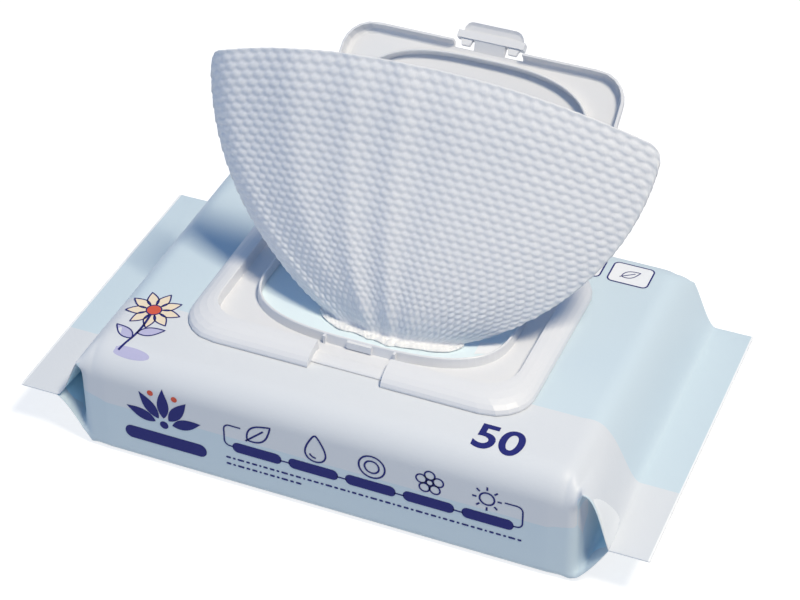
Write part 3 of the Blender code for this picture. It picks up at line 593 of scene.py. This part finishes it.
# %% Outlines
def round_box(x, v, half_x, half_v, radius, count=10):
    """Outline of a rounded box: four quarter circles round the corners' centres."""
    turn = np.linspace(0, math.pi / 2, count)
    corners = ((1, 1, 0), (-1, 1, math.pi / 2), (-1, -1, math.pi), (1, -1, 1.5 * math.pi))
    quarter = [np.stack([sx * (half_x - radius) + radius * np.cos(turn + start),
                         sv * (half_v - radius) + radius * np.sin(turn + start)], -1)
               for sx, sv, start in corners]
    return np.concatenate(quarter) + [x, v]


def circle(x, v, radius, count=28, start=0.0, sweep=2 * math.pi):
    """Points of a circle, or of an arc from the start angle when the sweep is less than a full turn."""
    turn = start + np.linspace(0, sweep, count, endpoint=sweep < 6.28)
    return np.stack([x + radius * np.cos(turn), v + radius * np.sin(turn)], -1)


def leaf(x, v, angle, length, width, count=24):
    """Outline of a leaf from its foot: half width = width / 2 * sin(pi t ** 0.8) at a share t of the way."""
    t = np.linspace(0, 1, count)
    half = width / 2 * np.sin(math.pi * t ** 0.8)
    along = np.concatenate([t, t[-2:0:-1]]) * length
    across = np.concatenate([half, -half[-2:0:-1]])
    c, s = math.cos(angle), math.sin(angle)
    return np.stack([x + along * c - across * s, v + along * s + across * c], -1)


def drop(x, v, radius, count=40):
    """A drop: a circle whose top is drawn up to a point, by ((1 + cos) / 2) ** 3 of the turn."""
    turn = np.linspace(0, 2 * math.pi, count, endpoint=False)
    up = ((1 + np.cos(turn)) / 2) ** 3
    return np.stack([x + radius * np.sin(turn) * (1 - 0.45 * up),
                     v + radius * np.cos(turn) + 0.9 * radius * up], -1)


def leaf_icon(foot, angle, size, rib, slope, line):
    """A leaf's outline with its midrib: rib gives the rib's start, end and number of points on the slope."""
    closed_stroke(leaf(*foot, angle, *size), line)
    stroke(np.asarray(foot) + np.linspace(*rib)[:, None] * [slope], line)


def blossom_icon(x, v, reach, petal, count, line):
    """Five rings of a petal's radius, whose middles stand round (x, v) at the reach."""
    for turn in np.arange(5) * 2 * math.pi / 5 + math.pi / 2:
        closed_stroke(circle(x + reach * math.cos(turn), v + reach * math.sin(turn), petal, count), line)


print("a leaf's outline has", len(leaf(0.0, 0.0, 0.0, 1.0, 0.5)), "points")

# %% [markdown]
# ## Row of capsules
#
# Along the front runs a row of five dark capsules on one line, which turns up at both ends. A capsule is a
# rounded box, filled, and the line is a stroke whose corners are quarter circles.

# %% Capsule row on the front
CAPSULE_XS = -24.1 + 21.7 * np.arange(5)
CAPSULE_V, FRAME_TOP = float(front(19.1)), float(front(28.7))
CAPSULE_SHAPE = (9.5, 2.3, 2.2)
FRAME_LINE, FRAME_BEND = 0.6, 2.2
for x in CAPSULE_XS:
    fill(round_box(x, CAPSULE_V, *CAPSULE_SHAPE), (x, CAPSULE_V), NAVY, INK_LIFT)
for x in CAPSULE_XS[:-1]:
    stroke(np.stack([np.linspace(x + 9.0, x + 12.7, 4), np.full(4, CAPSULE_V - 0.3)], -1), FRAME_LINE)
for sign, end in ((-1, CAPSULE_XS[0]), (1, CAPSULE_XS[-1])):
    top, foot, far, bend = FRAME_TOP, CAPSULE_V, end + sign * 12.6, FRAME_BEND
    arc = np.linspace(0, math.pi / 2, 7)
    path = np.concatenate([
        [[end + sign * 6.0, top], [far - sign * (bend + 1), top]],
        np.stack([far - sign * bend + sign * bend * np.sin(arc), top - bend + bend * np.cos(arc)], -1),
        np.stack([far - sign * bend + sign * bend * np.cos(arc), foot + bend - bend * np.sin(arc)], -1),
        [[end + sign * 9.2, foot]]])
    stroke(path, FRAME_LINE)
print("capsules:", len(CAPSULE_XS))

# %% [markdown]
# ## Icons over the capsules
#
# Five outline icons stand over the capsules: a leaf, a drop, a ring, a blossom and a sun. Each is a few
# closed strokes of one line width.

# %% Line icons
icon_v = float(front(28.2))
LINE = 0.70
x = CAPSULE_XS[0] + 1.6
leaf_icon((x - 5.1, icon_v - 4.0), 0.75, (12.4, 6.4), (-1, 8.6, 8), (0.73, 0.68), LINE)
x = CAPSULE_XS[1] + 1.0
closed_stroke(drop(x, icon_v - 1.2, 4.1), LINE)
stroke(circle(x, icon_v - 1.2, 2.3, 10, 3.5, 1.3), LINE)
x = CAPSULE_XS[2] + 0.6
for radius in (4.9, 2.7):
    closed_stroke(circle(x, icon_v - 0.3, radius), LINE)
x = CAPSULE_XS[3] + 0.4
blossom_icon(x, icon_v, 3.3, 1.9, 20, LINE * 0.9)
closed_stroke(circle(x, icon_v, 1.3, 18), LINE * 0.9)
x = CAPSULE_XS[4] - 0.4
closed_stroke(circle(x, icon_v, 2.7, 24), LINE)
for turn in np.arange(8) * math.pi / 4:
    ray = np.linspace(3.8, 5.4, 3)[:, None] * [[math.cos(turn), math.sin(turn)]]
    stroke(ray + [x, icon_v], LINE)
print("icons laid in", len(marks_points), "marks so far")

# %% [markdown]
# ## Leaf badge and dashes
#
# The left of the front carries a dark badge: a spray of five leaves over a bar, with two coral dots. Two
# rows of short dashes run along the foot of the front. Their lengths repeat every seven dashes.

# %% Leaf badge, its bar and the rows of dashes
badge_x, badge_v = -60.6, float(front(19.6))
for turn, length in ((2.79, 12.2), (2.18, 12.8), (1.57, 13.4), (0.96, 12.8), (0.35, 12.2)):
    outline = leaf(badge_x + 3.5 * math.cos(turn), badge_v + 3.5 * math.sin(turn), turn, length, 4.6)
    fill(outline, outline.mean(0), NAVY, INK_LIFT)
fill(circle(badge_x, badge_v + 0.4, 1.7, 20), (badge_x, badge_v + 0.4), NAVY, INK_LIFT)
for turn in (1.87, 1.27):
    dot = np.array([badge_x + 16.0 * math.cos(turn), badge_v + 14.5 * math.sin(turn)])
    fill(circle(*dot, 1.2, 18), dot, CORAL, INK_LIFT)
bar = (-60.4, float(front(12.6)))
fill(round_box(*bar, 16.3, 2.9, 2.8), bar, NAVY, INK_LIFT)
DASHES, DASH_GAP = (1.9, 1.1, 2.6, 1.5, 2.1, 0.9, 1.7), 0.75
for start, stop, z in ((-36.4, 75.6, 13.4), (-36.4, -8.5, 10.4)):
    x, v, k = start, float(front(z)), 0
    while x < stop:
        length = DASHES[k % len(DASHES)]
        fill(round_box(x + length / 2, v, length / 2, 0.42, 0.38, 4), (x + length / 2, v), NAVY, INK_LIFT, 3)
        x, k = x + length + DASH_GAP, k + 1
print("badge and dashes laid:", len(marks_points), "marks so far")

# %% [markdown]
# ## Marks on the top
#
# The top carries a flower on a lilac ground, a white corner under the closure, and three framed badges
# behind it. The petals overlap, so each part of the flower lies a little higher than the one under it.

# %% Flower on the top
flower_x, flower_v, ground_x, ground_v = -78.5, -35.5, -76.0, -59.5
FLOWER_LINE, LOW_LIFT, MIDDLE_LIFT, RING_LIFT = 0.55, 0.03, 0.12, 0.14
fill(circle(ground_x, 0, 7.8, 30) * [1, 0.30] + [0, ground_v], (ground_x, ground_v), LILAC, LOW_LIFT)
way_down = np.linspace(0, 1, 14)
stem_top = flower_v - 2
stem = np.stack([flower_x + 2.0 * np.sin(2.6 * way_down) - 3.0 * way_down,
                 stem_top + (ground_v - stem_top) * way_down], -1)
stroke(stem, 0.95)
for turn, foot in ((2.6, 9), (0.5, 7)):
    outline = leaf(*stem[foot], turn, 10.0, 4.4)
    fill(outline, outline.mean(0), LILAC)
    closed_stroke(outline, FLOWER_LINE)
for turn in np.arange(9) * 2 * math.pi / 9:
    outline = leaf(flower_x + 2.0 * math.cos(turn), flower_v + 2.0 * math.sin(turn), turn, 8.4, 4.2)
    fill(outline, outline.mean(0), CREAM)
    closed_stroke(outline, FLOWER_LINE)
middle_disc = circle(flower_x, flower_v, 2.8)
fill(middle_disc, (flower_x, flower_v), CORAL, MIDDLE_LIFT)
closed_stroke(middle_disc, 0.5, NAVY, RING_LIFT)
print("flower laid:", len(marks_points), "marks so far")

# %% White corner under the closure
CORNER_LIFT = 0.16
corner_path = np.array([(37.2, -7.8), (37.5, -14.4), (42.7, -12.2), (46.0, -6.0), (42.2, -5.8)])
fill(corner_path, corner_path.mean(0), WHITE, CORNER_LIFT, 3)
print("white corner:", len(corner_path), "points")

# %% Badges behind the closure
BADGE_V, BADGE_SHAPE = 50.4, (7.7, 5.9, 2.0)
for k, x in enumerate((74.6, 56.2, 37.8)):
    outline = round_box(x, BADGE_V, *BADGE_SHAPE)
    fill(outline, (x, BADGE_V), WHITE)
    closed_stroke(outline, 0.6)
    if k == 1:
        blossom_icon(x, BADGE_V, 1.9, 1.25, 18, 0.4)
    else:
        leaf_icon((x - 3.0, 48.4), 0.6, (7.4, 3.8), (-0.8, 5.4, 6), (0.825, 0.565), 0.42)
print("marks:", len(marks_faces), "faces")

# %% [markdown]
# ## Count
#
# The pack tells how many wipes it holds. Blender's own font gives the two digits as flat outlines, which
# are cut into small triangles, so that they can follow the round edge of the pack.

# %% Count in plain digits
DIGIT_WIDENING, LONGEST_EDGE, SPLITS = 1.15, 0.09, 4


def digits(body, x, v, height):
    """Blender's own font as a mesh, cut into small triangles and laid on the film."""
    curve = bpy.data.curves.new("digits", "FONT")
    curve.body, curve.size, curve.offset = body, 1.0, 0.02
    text = bpy.data.objects.new("digits", curve)
    bpy.context.scene.collection.objects.link(text)
    bpy.context.view_layer.update()
    mesh = bpy.data.meshes.new_from_object(text.evaluated_get(bpy.context.evaluated_depsgraph_get()))
    bpy.data.objects.remove(text)
    bm = bmesh.new()
    bm.from_mesh(mesh)
    bmesh.ops.remove_doubles(bm, verts=bm.verts, dist=1e-5)
    bmesh.ops.triangulate(bm, faces=bm.faces)
    for step in range(SPLITS):
        long_edges = [e for e in bm.edges if e.calc_length() > LONGEST_EDGE]
        bmesh.ops.subdivide_edges(bm, edges=long_edges, cuts=1)
        bmesh.ops.triangulate(bm, faces=bm.faces)
    flat = np.array([p.co[:2] for p in bm.verts])
    faces = [[p.index for p in f.verts] for f in bm.faces]
    bm.free()
    low, high = flat.min(0), flat.max(0)
    scale = height / (high[1] - low[1])
    flat = (flat - low) * [scale * DIGIT_WIDENING, scale] + [x, v]
    base = sum(len(p) for p in marks_points)
    marks_points.append(on_film(flat[:, 0], flat[:, 1], INK_LIFT))
    marks_faces.extend([[i + base for i in f] for f in faces])
    marks_ink.extend([NAVY] * len(faces))
    return float((high[0] - low[0]) * scale * DIGIT_WIDENING)


print("digits are", round(digits("50", 53.0, -59.2, 11.8), 1), "mm wide")

# %% [markdown]
# ## One mesh of marks
#
# All the marks are ink on one film, so they are one mesh with a material for each ink. Where a path turns
# the other way round, its faces look inwards, and these are turned to look off the pack.

# %% Join the marks
PACK_AXIS_HEIGHT = 0.03
marks = mesh_object("printed_marks", np.concatenate(marks_points), marks_faces, outwards=False, smooth=False)
marks.data.polygons.foreach_set("material_index", np.array(marks_ink, np.int32))
bm = bmesh.new()
bm.from_mesh(marks.data)
bmesh.ops.remove_doubles(bm, verts=bm.verts, dist=1e-7)
bmesh.ops.dissolve_degenerate(bm, edges=bm.edges, dist=1e-7)
for face in bm.faces:
    face.normal_update()
    middle = face.calc_center_median()
    if face.normal.dot(Vector((0, middle.y, middle.z - PACK_AXIS_HEIGHT))) < 0:
        face.normal_flip()
bm.to_mesh(marks.data)
bm.free()
print("printed marks:", len(marks.data.polygons), "faces")

# %% [markdown]
# ## Materials
#
# Every finish is a Principled shader. Plain values go straight on its sockets. Patterns read the
# piece's own UV map, or Object coordinates where no pattern has to follow the surface.

# %% Node helpers
def new_finish(name, colour, roughness, **sockets):
    """A Principled material with its plain values on the sockets."""
    material = bpy.data.materials.new(name)
    material.use_nodes = True
    shader = material.node_tree.nodes["Principled BSDF"]
    shader.inputs["Base Color"].default_value = (*colour, 1.0)
    shader.inputs["Roughness"].default_value = roughness
    for socket, value in sockets.items():
        shader.inputs[socket.replace("_", " ")].default_value = value
    return material, shader


def node(tree, kind, **settings):
    """A new node of a kind, with its settings."""
    made = tree.nodes.new(kind)
    for key, value in settings.items():
        setattr(made, key, value)
    return made


def calc(tree, operation, *values):
    """A Math node whose inputs are numbers or sockets."""
    made = node(tree, "ShaderNodeMath", operation=operation)
    for slot, value in zip(made.inputs, values):
        if hasattr(value, "is_linked"):
            tree.links.new(value, slot)
        else:
            slot.default_value = value
    return made.outputs[0]


def mix_colour(tree, factor, first, second):
    """A Mix node between two colours or sockets."""
    made = node(tree, "ShaderNodeMix", data_type="RGBA")
    tree.links.new(factor, made.inputs["Factor"])
    for slot, value in zip((made.inputs[6], made.inputs[7]), (first, second)):
        if hasattr(value, "is_linked"):
            tree.links.new(value, slot)
        else:
            slot.default_value = (*value, 1.0)
    return made.outputs[2]


def map_range(tree, value, start, end, low=0.0, high=1.0):
    """A Map Range node: low up to the start, high from the end on, straight in between."""
    made = node(tree, "ShaderNodeMapRange")
    for socket, number in (("From Min", start), ("From Max", end), ("To Min", low), ("To Max", high)):
        made.inputs[socket].default_value = number
    tree.links.new(value, made.inputs["Value"])
    return made.outputs["Result"]


print("finishes so far:", len(bpy.data.materials))

# %% Patterns and bumps
def noise(tree, scale, detail=3.0, stretch=None):
    """Noise on Object coordinates, in features a metre."""
    made = node(tree, "ShaderNodeTexNoise")
    made.inputs["Scale"].default_value, made.inputs["Detail"].default_value = scale, detail
    vector = node(tree, "ShaderNodeTexCoord").outputs["Object"]
    if stretch:
        mapping = node(tree, "ShaderNodeMapping")
        mapping.inputs["Scale"].default_value = stretch
        tree.links.new(vector, mapping.inputs["Vector"])
        vector = mapping.outputs["Vector"]
    tree.links.new(vector, made.inputs["Vector"])
    return made.outputs["Fac"]


def bump(tree, shader, height, depth):
    """A Bump node of that depth in metres in front of the shader's normal."""
    made = node(tree, "ShaderNodeBump")
    made.inputs["Strength"].default_value, made.inputs["Distance"].default_value = 1.0, depth
    tree.links.new(height, made.inputs["Height"])
    tree.links.new(made.outputs["Normal"], shader.inputs["Normal"])


def vary_roughness(tree, shader, pattern, low, high):
    """Roughness between low and high, by a pattern of 0 to 1."""
    tree.links.new(map_range(tree, pattern, 0.0, 1.0, low, high), shader.inputs["Roughness"])


FILM_GRAIN, PLASTIC_GRAIN, CLOTH_GRAIN = 900.0, 2500.0, 2200.0
print("film's grain:", FILM_GRAIN, "features a metre")

# %% [markdown]
# ## Printed film
#
# The film is printed blue, with white bands on the front and on the top's front edge. The bands have
# straight borders in print coordinates, so they are comparisons of the UV map, multiplied where all have
# to hold. A narrow white wedge down the rounded right front corner is a painted highlight. The folded-in
# sides are a brighter, more saturated blue, which is painted bounce light between the folds, and the
# film's cut ends are bare, with a painted highlight along them.

# %% Places of the print and of the painted light, in millimetres along the pack and round the film
BAND_BACK, BAND_SIDE, FRONT_TOP, BAND_FOOT = -32.0, 93.8, -60.0, float(front(23.0))
# A narrow white wedge down the rounded right front corner: a painted highlight, not print
TAIL_START, TAIL_MIDDLE, TAIL_END, TAIL_TOP = 94.0, 95.2, 96.2, float(front(30.0))
TAIL_FOOT, TAIL_SLOPE = float(front(13.2)), 8.0
CREASE_BODY, CREASE_FIN, CREASE_MARGIN = 66.0, 72.4, 1.5
CLOSURE_HALF_LENGTH, CLOSURE_HALF_WIDTH = 52.0, 34.0
# The folded-in sides, where a brighter, more saturated blue is painted bounce light
GUSSET_FROM, GUSSET_FULL, GUSSET_FOOT = 96.5, 100.0, 112.0
# The last 0.7 mm at each end: bare cut film, with a painted highlight along the edge
BARE_AND_HIGHLIGHT_FROM = 119.3
print("white band on the front down to", round(BAND_FOOT, 2), "mm round the film")

# %% Printed film
def below(value, limit):
    """1 where a value is below a limit, else 0."""
    return calc(tree, "LESS_THAN", value, limit)


def above(value, limit):
    """1 where a value is above a limit, else 0."""
    return calc(tree, "GREATER_THAN", value, limit)


def all_of(first, *others):
    """Product of shares, which is 1 where each of them is."""
    for other in others:
        first = calc(tree, "MULTIPLY", first, other)
    return first


# The ends' pale colour is bare cut film with a painted highlight on it
BLUE, BAND_WHITE, BARE_EDGE_AND_HIGHLIGHT = (0.585, 0.69, 0.76), (0.68, 0.705, 0.745), (0.90, 0.91, 0.92)
# The gusset's colour is painted bounce light: a brighter, more saturated blue than the print, for light
# thrown between the blue folds
UNDER_CLOSURE, GUSSET_PAINTED_BOUNCE = (0.72, 0.83, 0.885), (0.60, 0.84, 0.95)
film_finish, shader = new_finish("printed_film", BLUE, 0.42, IOR=1.45, Specular_IOR_Level=0.3)
tree = film_finish.node_tree
uv = node(tree, "ShaderNodeUVMap", uv_map=PRINT_UV)
split = node(tree, "ShaderNodeSeparateXYZ")
tree.links.new(uv.outputs["UV"], split.inputs[0])
along, way = split.outputs[0], split.outputs[1]
from_middle, around = calc(tree, "ABSOLUTE", along), calc(tree, "ABSOLUTE", way)
crease = map_range(tree, from_middle, SHOULDER_START, FIN_START, CREASE_BODY, CREASE_FIN)
before_crease = below(calc(tree, "MULTIPLY", way, -1.0), crease)
on_top = all_of(below(way, BAND_BACK), before_crease)
on_front = all_of(below(way, FRONT_TOP), above(way, BAND_FOOT), below(from_middle, BAND_SIDE))
off_tail = calc(tree, "ABSOLUTE", calc(tree, "SUBTRACT", along, TAIL_MIDDLE))
tail_foot = calc(tree, "MULTIPLY_ADD", off_tail, TAIL_SLOPE, TAIL_FOOT)
# Painted highlight: a narrow white wedge down the rounded right front corner, added to the printed white
# bands
corner_highlight = all_of(above(along, TAIL_START), below(along, TAIL_END), above(way, tail_foot), below(way, TAIL_TOP))
band = calc(tree, "MAXIMUM", calc(tree, "MAXIMUM", on_top, on_front), corner_highlight)
ground = mix_colour(tree, band, BLUE, BAND_WHITE)
inside = all_of(below(from_middle, CLOSURE_HALF_LENGTH), below(around, CLOSURE_HALF_WIDTH))
ground = mix_colour(tree, inside, ground, UNDER_CLOSURE)
# Painted bounce light: the folded-in sides get the gusset's brighter, more saturated blue
gusset = all_of(above(around, calc(tree, "ADD", crease, CREASE_MARGIN)), below(around, GUSSET_FOOT),
                map_range(tree, from_middle, GUSSET_FROM, GUSSET_FULL))
ground = mix_colour(tree, gusset, ground, GUSSET_PAINTED_BOUNCE)
# Bare cut film at the ends, widened onto the top as a painted highlight along the edge
ground = mix_colour(tree, above(from_middle, BARE_AND_HIGHLIGHT_FROM), ground, BARE_EDGE_AND_HIGHLIGHT)
tree.links.new(ground, shader.inputs["Base Color"])
vary_roughness(tree, shader, noise(tree, 40.0, 2.0), 0.36, 0.50)
bump(tree, shader, noise(tree, FILM_GRAIN, 4.0), 0.00002)
film_inside, shader = new_finish("film_inside", (0.80, 0.82, 0.84), 0.35)
vary_roughness(film_inside.node_tree, shader, noise(film_inside.node_tree, 60.0), 0.3, 0.42)
print("film finish has", len(tree.nodes), "nodes")

# %% [markdown]
# ## Plastic, cloth and inks
#
# The closure is polypropylene with a fine satin grain. The wipe is damp nonwoven cloth: light goes into it,
# so it has some subsurface scattering, and many layers over each other look lighter than the single sheet.
# The inks are plain and dull.

# %% White plastic
plastic, shader = new_finish("white_plastic", (0.715, 0.724, 0.755), 0.40, IOR=1.49)
tree = plastic.node_tree
vary_roughness(tree, shader, noise(tree, 120.0, 3.0), 0.36, 0.46)
bump(tree, shader, noise(tree, PLASTIC_GRAIN, 3.0), 0.000012)
print("plastic finish has", len(tree.nodes), "nodes")

# %% Wipe cloth
LAYERED, SINGLE = (0.86, 0.86, 0.88), (0.765, 0.772, 0.80)
SINGLE_FROM, SINGLE_FULL = 0.0458, 0.0500
cloth, shader = new_finish("wipe_cloth", LAYERED, 0.85, Subsurface_Weight=0.5,
                           Subsurface_Radius=(1.0, 1.0, 1.0), Subsurface_Scale=0.0015)
tree = cloth.node_tree
fibre = noise(tree, CLOTH_GRAIN, 5.0, stretch=(1.0, 1.0, 0.45))
height = node(tree, "ShaderNodeSeparateXYZ")
tree.links.new(node(tree, "ShaderNodeTexCoord").outputs["Object"], height.inputs[0])
layers = mix_colour(tree, map_range(tree, height.outputs[2], SINGLE_FROM, SINGLE_FULL), LAYERED, SINGLE)
with_fibres = mix_colour(tree, calc(tree, "MULTIPLY", fibre, 0.12), layers, (1.0, 1.0, 1.0))
tree.links.new(with_fibres, shader.inputs["Base Color"])
bump(tree, shader, fibre, 0.00008)
print("cloth finish has", len(tree.nodes), "nodes")

# %% Inks
INK_COLOURS = {"navy": (0.016, 0.020, 0.155), "white": (0.80, 0.81, 0.84), "cream": (0.80, 0.68, 0.52),
               "coral": (0.62, 0.10, 0.06), "lilac": (0.47, 0.46, 0.66)}
inks = []
for name, colour in INK_COLOURS.items():
    ink, shader = new_finish("ink_" + name, colour, 0.50, Specular_IOR_Level=0.12)
    tree = ink.node_tree
    pale = tuple(min(1.0, c * 1.06 + 0.004) for c in colour)
    tree.links.new(mix_colour(tree, noise(tree, 700.0, 3.0), colour, pale), shader.inputs["Base Color"])
    inks.append(ink)
print("finishes:", len(bpy.data.materials))

# %% [markdown]
# ## Thickness, finishes and bodies
#
# Film is a thin skin, so Solidify gives it its wall. Each piece then gets its finish, the CAD nodes that
# the new pieces stand in for are hidden, and the film, its marks and the wipes ride on the pack's body.
# The closure's mouldings are the CAD's own nodes.

# %% Put the pieces on their bodies
FILM_WALL = 0.00015
wall = film.modifiers.new("wall", "SOLIDIFY")
wall.thickness, wall.offset, wall.material_offset, wall.material_offset_rim = FILM_WALL, -1.0, 1, 1
film.data.materials.append(film_finish)
film.data.materials.append(film_inside)
for thing, material in ((stack, cloth), (wipe, cloth), (strap, plastic)):
    thing.data.materials.append(material)
for ink in inks:
    marks.data.materials.append(ink)
for name in ("lid_base", "lid"):
    node_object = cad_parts[name]
    node_object.data.materials.clear()
    node_object.data.materials.append(plastic)
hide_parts("film_pouch")
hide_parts("wipes_stack")
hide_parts("pulled_wipe")
for thing, slot_name in ((film, "printed_film"), (marks, "printed_film"), (stack, "wipe_cloth"),
                         (wipe, "wipe_cloth")):
    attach(thing, "pack")
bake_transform(strap)
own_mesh(wipe)

# %% [markdown]
# ## Floor and light
#
# A soft lamp, high on the right, gives the shadows of the wipe. A weak lamp, low in front on the left,
# lights the front panel, and the surroundings add a cool fill. The floor and the surroundings are white to
# the camera: the rays that look at them see a glow, and all other rays meet a plain grey floor and the
# cool fill. The glow leaves room for shading, so the pack's shadow still shows on the floor.

# %% Floor
FLOOR_HALF, FLOOR_LEVEL = 3000.0, -0.2
FLOOR_LIT, FLOOR_SEEN, FLOOR_GLOW = (0.58, 0.58, 0.58, 1), (0.34, 0.34, 0.34, 1), 0.80
floor_corners = [(x * FLOOR_HALF, y * FLOOR_HALF, FLOOR_LEVEL)
                 for x, y in ((-1, -1), (1, -1), (1, 1), (-1, 1))]
floor = mesh_object("floor", floor_corners, [(0, 1, 2, 3)], outwards=False)
floor_finish = bpy.data.materials.new("floor")
floor_finish.use_nodes = True
tree = floor_finish.node_tree
tree.nodes.clear()
out = node(tree, "ShaderNodeOutputMaterial")
lit = node(tree, "ShaderNodeBsdfDiffuse")
lit.inputs["Color"].default_value = FLOOR_LIT
seen = node(tree, "ShaderNodeBsdfDiffuse")
seen.inputs["Color"].default_value = FLOOR_SEEN
glow = node(tree, "ShaderNodeEmission")
glow.inputs["Strength"].default_value = FLOOR_GLOW
both = node(tree, "ShaderNodeAddShader")
rays = node(tree, "ShaderNodeLightPath")
choose = node(tree, "ShaderNodeMixShader")
tree.links.new(seen.outputs[0], both.inputs[0])
tree.links.new(glow.outputs[0], both.inputs[1])
looked_at = calc(tree, "MAXIMUM", rays.outputs["Is Camera Ray"], rays.outputs["Is Glossy Ray"])
tree.links.new(looked_at, choose.inputs[0])
tree.links.new(lit.outputs[0], choose.inputs[1])
tree.links.new(both.outputs[0], choose.inputs[2])
tree.links.new(choose.outputs[0], out.inputs["Surface"])
floor.data.materials.append(floor_finish)
print("floor at", FLOOR_LEVEL, "mm")

# %% Lamps
def soft_lamp(name, place, size, power, colour):
    """A square area lamp that looks at the closure."""
    light = bpy.data.lights.new(name, "AREA")
    light.size, light.energy, light.color = size, power, colour
    lamp = bpy.data.objects.new(name, light)
    bpy.context.scene.collection.objects.link(lamp)
    lamp.location = place
    lamp.rotation_euler = (Vector((0, 0, 0.05)) - Vector(place)).to_track_quat("-Z", "Y").to_euler()


soft_lamp("sun_side", (1.09, -0.465, 2.37), 0.52, 68.5, (1.0, 0.895, 0.70))
soft_lamp("front_fill", (-1.05, -1.05, 0.32), 0.8, 3.2, (0.95, 0.98, 1.0))
print("lamps:", len(bpy.data.lights))

# %% Surroundings
FILL_COLOUR, FILL_STRENGTH = (0.184, 0.474, 1.0, 1), 0.38
world = bpy.data.worlds.new("surroundings")
bpy.context.scene.world = world
world.use_nodes = True
tree = world.node_tree
tree.nodes.clear()
out = node(tree, "ShaderNodeOutputWorld")
fill_light, white_back = node(tree, "ShaderNodeBackground"), node(tree, "ShaderNodeBackground")
fill_light.inputs["Color"].default_value = FILL_COLOUR
fill_light.inputs["Strength"].default_value = FILL_STRENGTH
rays = node(tree, "ShaderNodeLightPath")
choose = node(tree, "ShaderNodeMixShader")
looked_at = calc(tree, "MAXIMUM", rays.outputs["Is Camera Ray"], rays.outputs["Is Glossy Ray"])
looked_at = calc(tree, "MAXIMUM", looked_at, rays.outputs["Is Transmission Ray"])
tree.links.new(looked_at, choose.inputs[0])
tree.links.new(fill_light.outputs[0], choose.inputs[1])
tree.links.new(white_back.outputs[0], choose.inputs[2])
tree.links.new(choose.outputs[0], out.inputs["Surface"])
bpy.context.scene.view_settings.view_transform = "Standard"
print("cool fill of strength", FILL_STRENGTH)
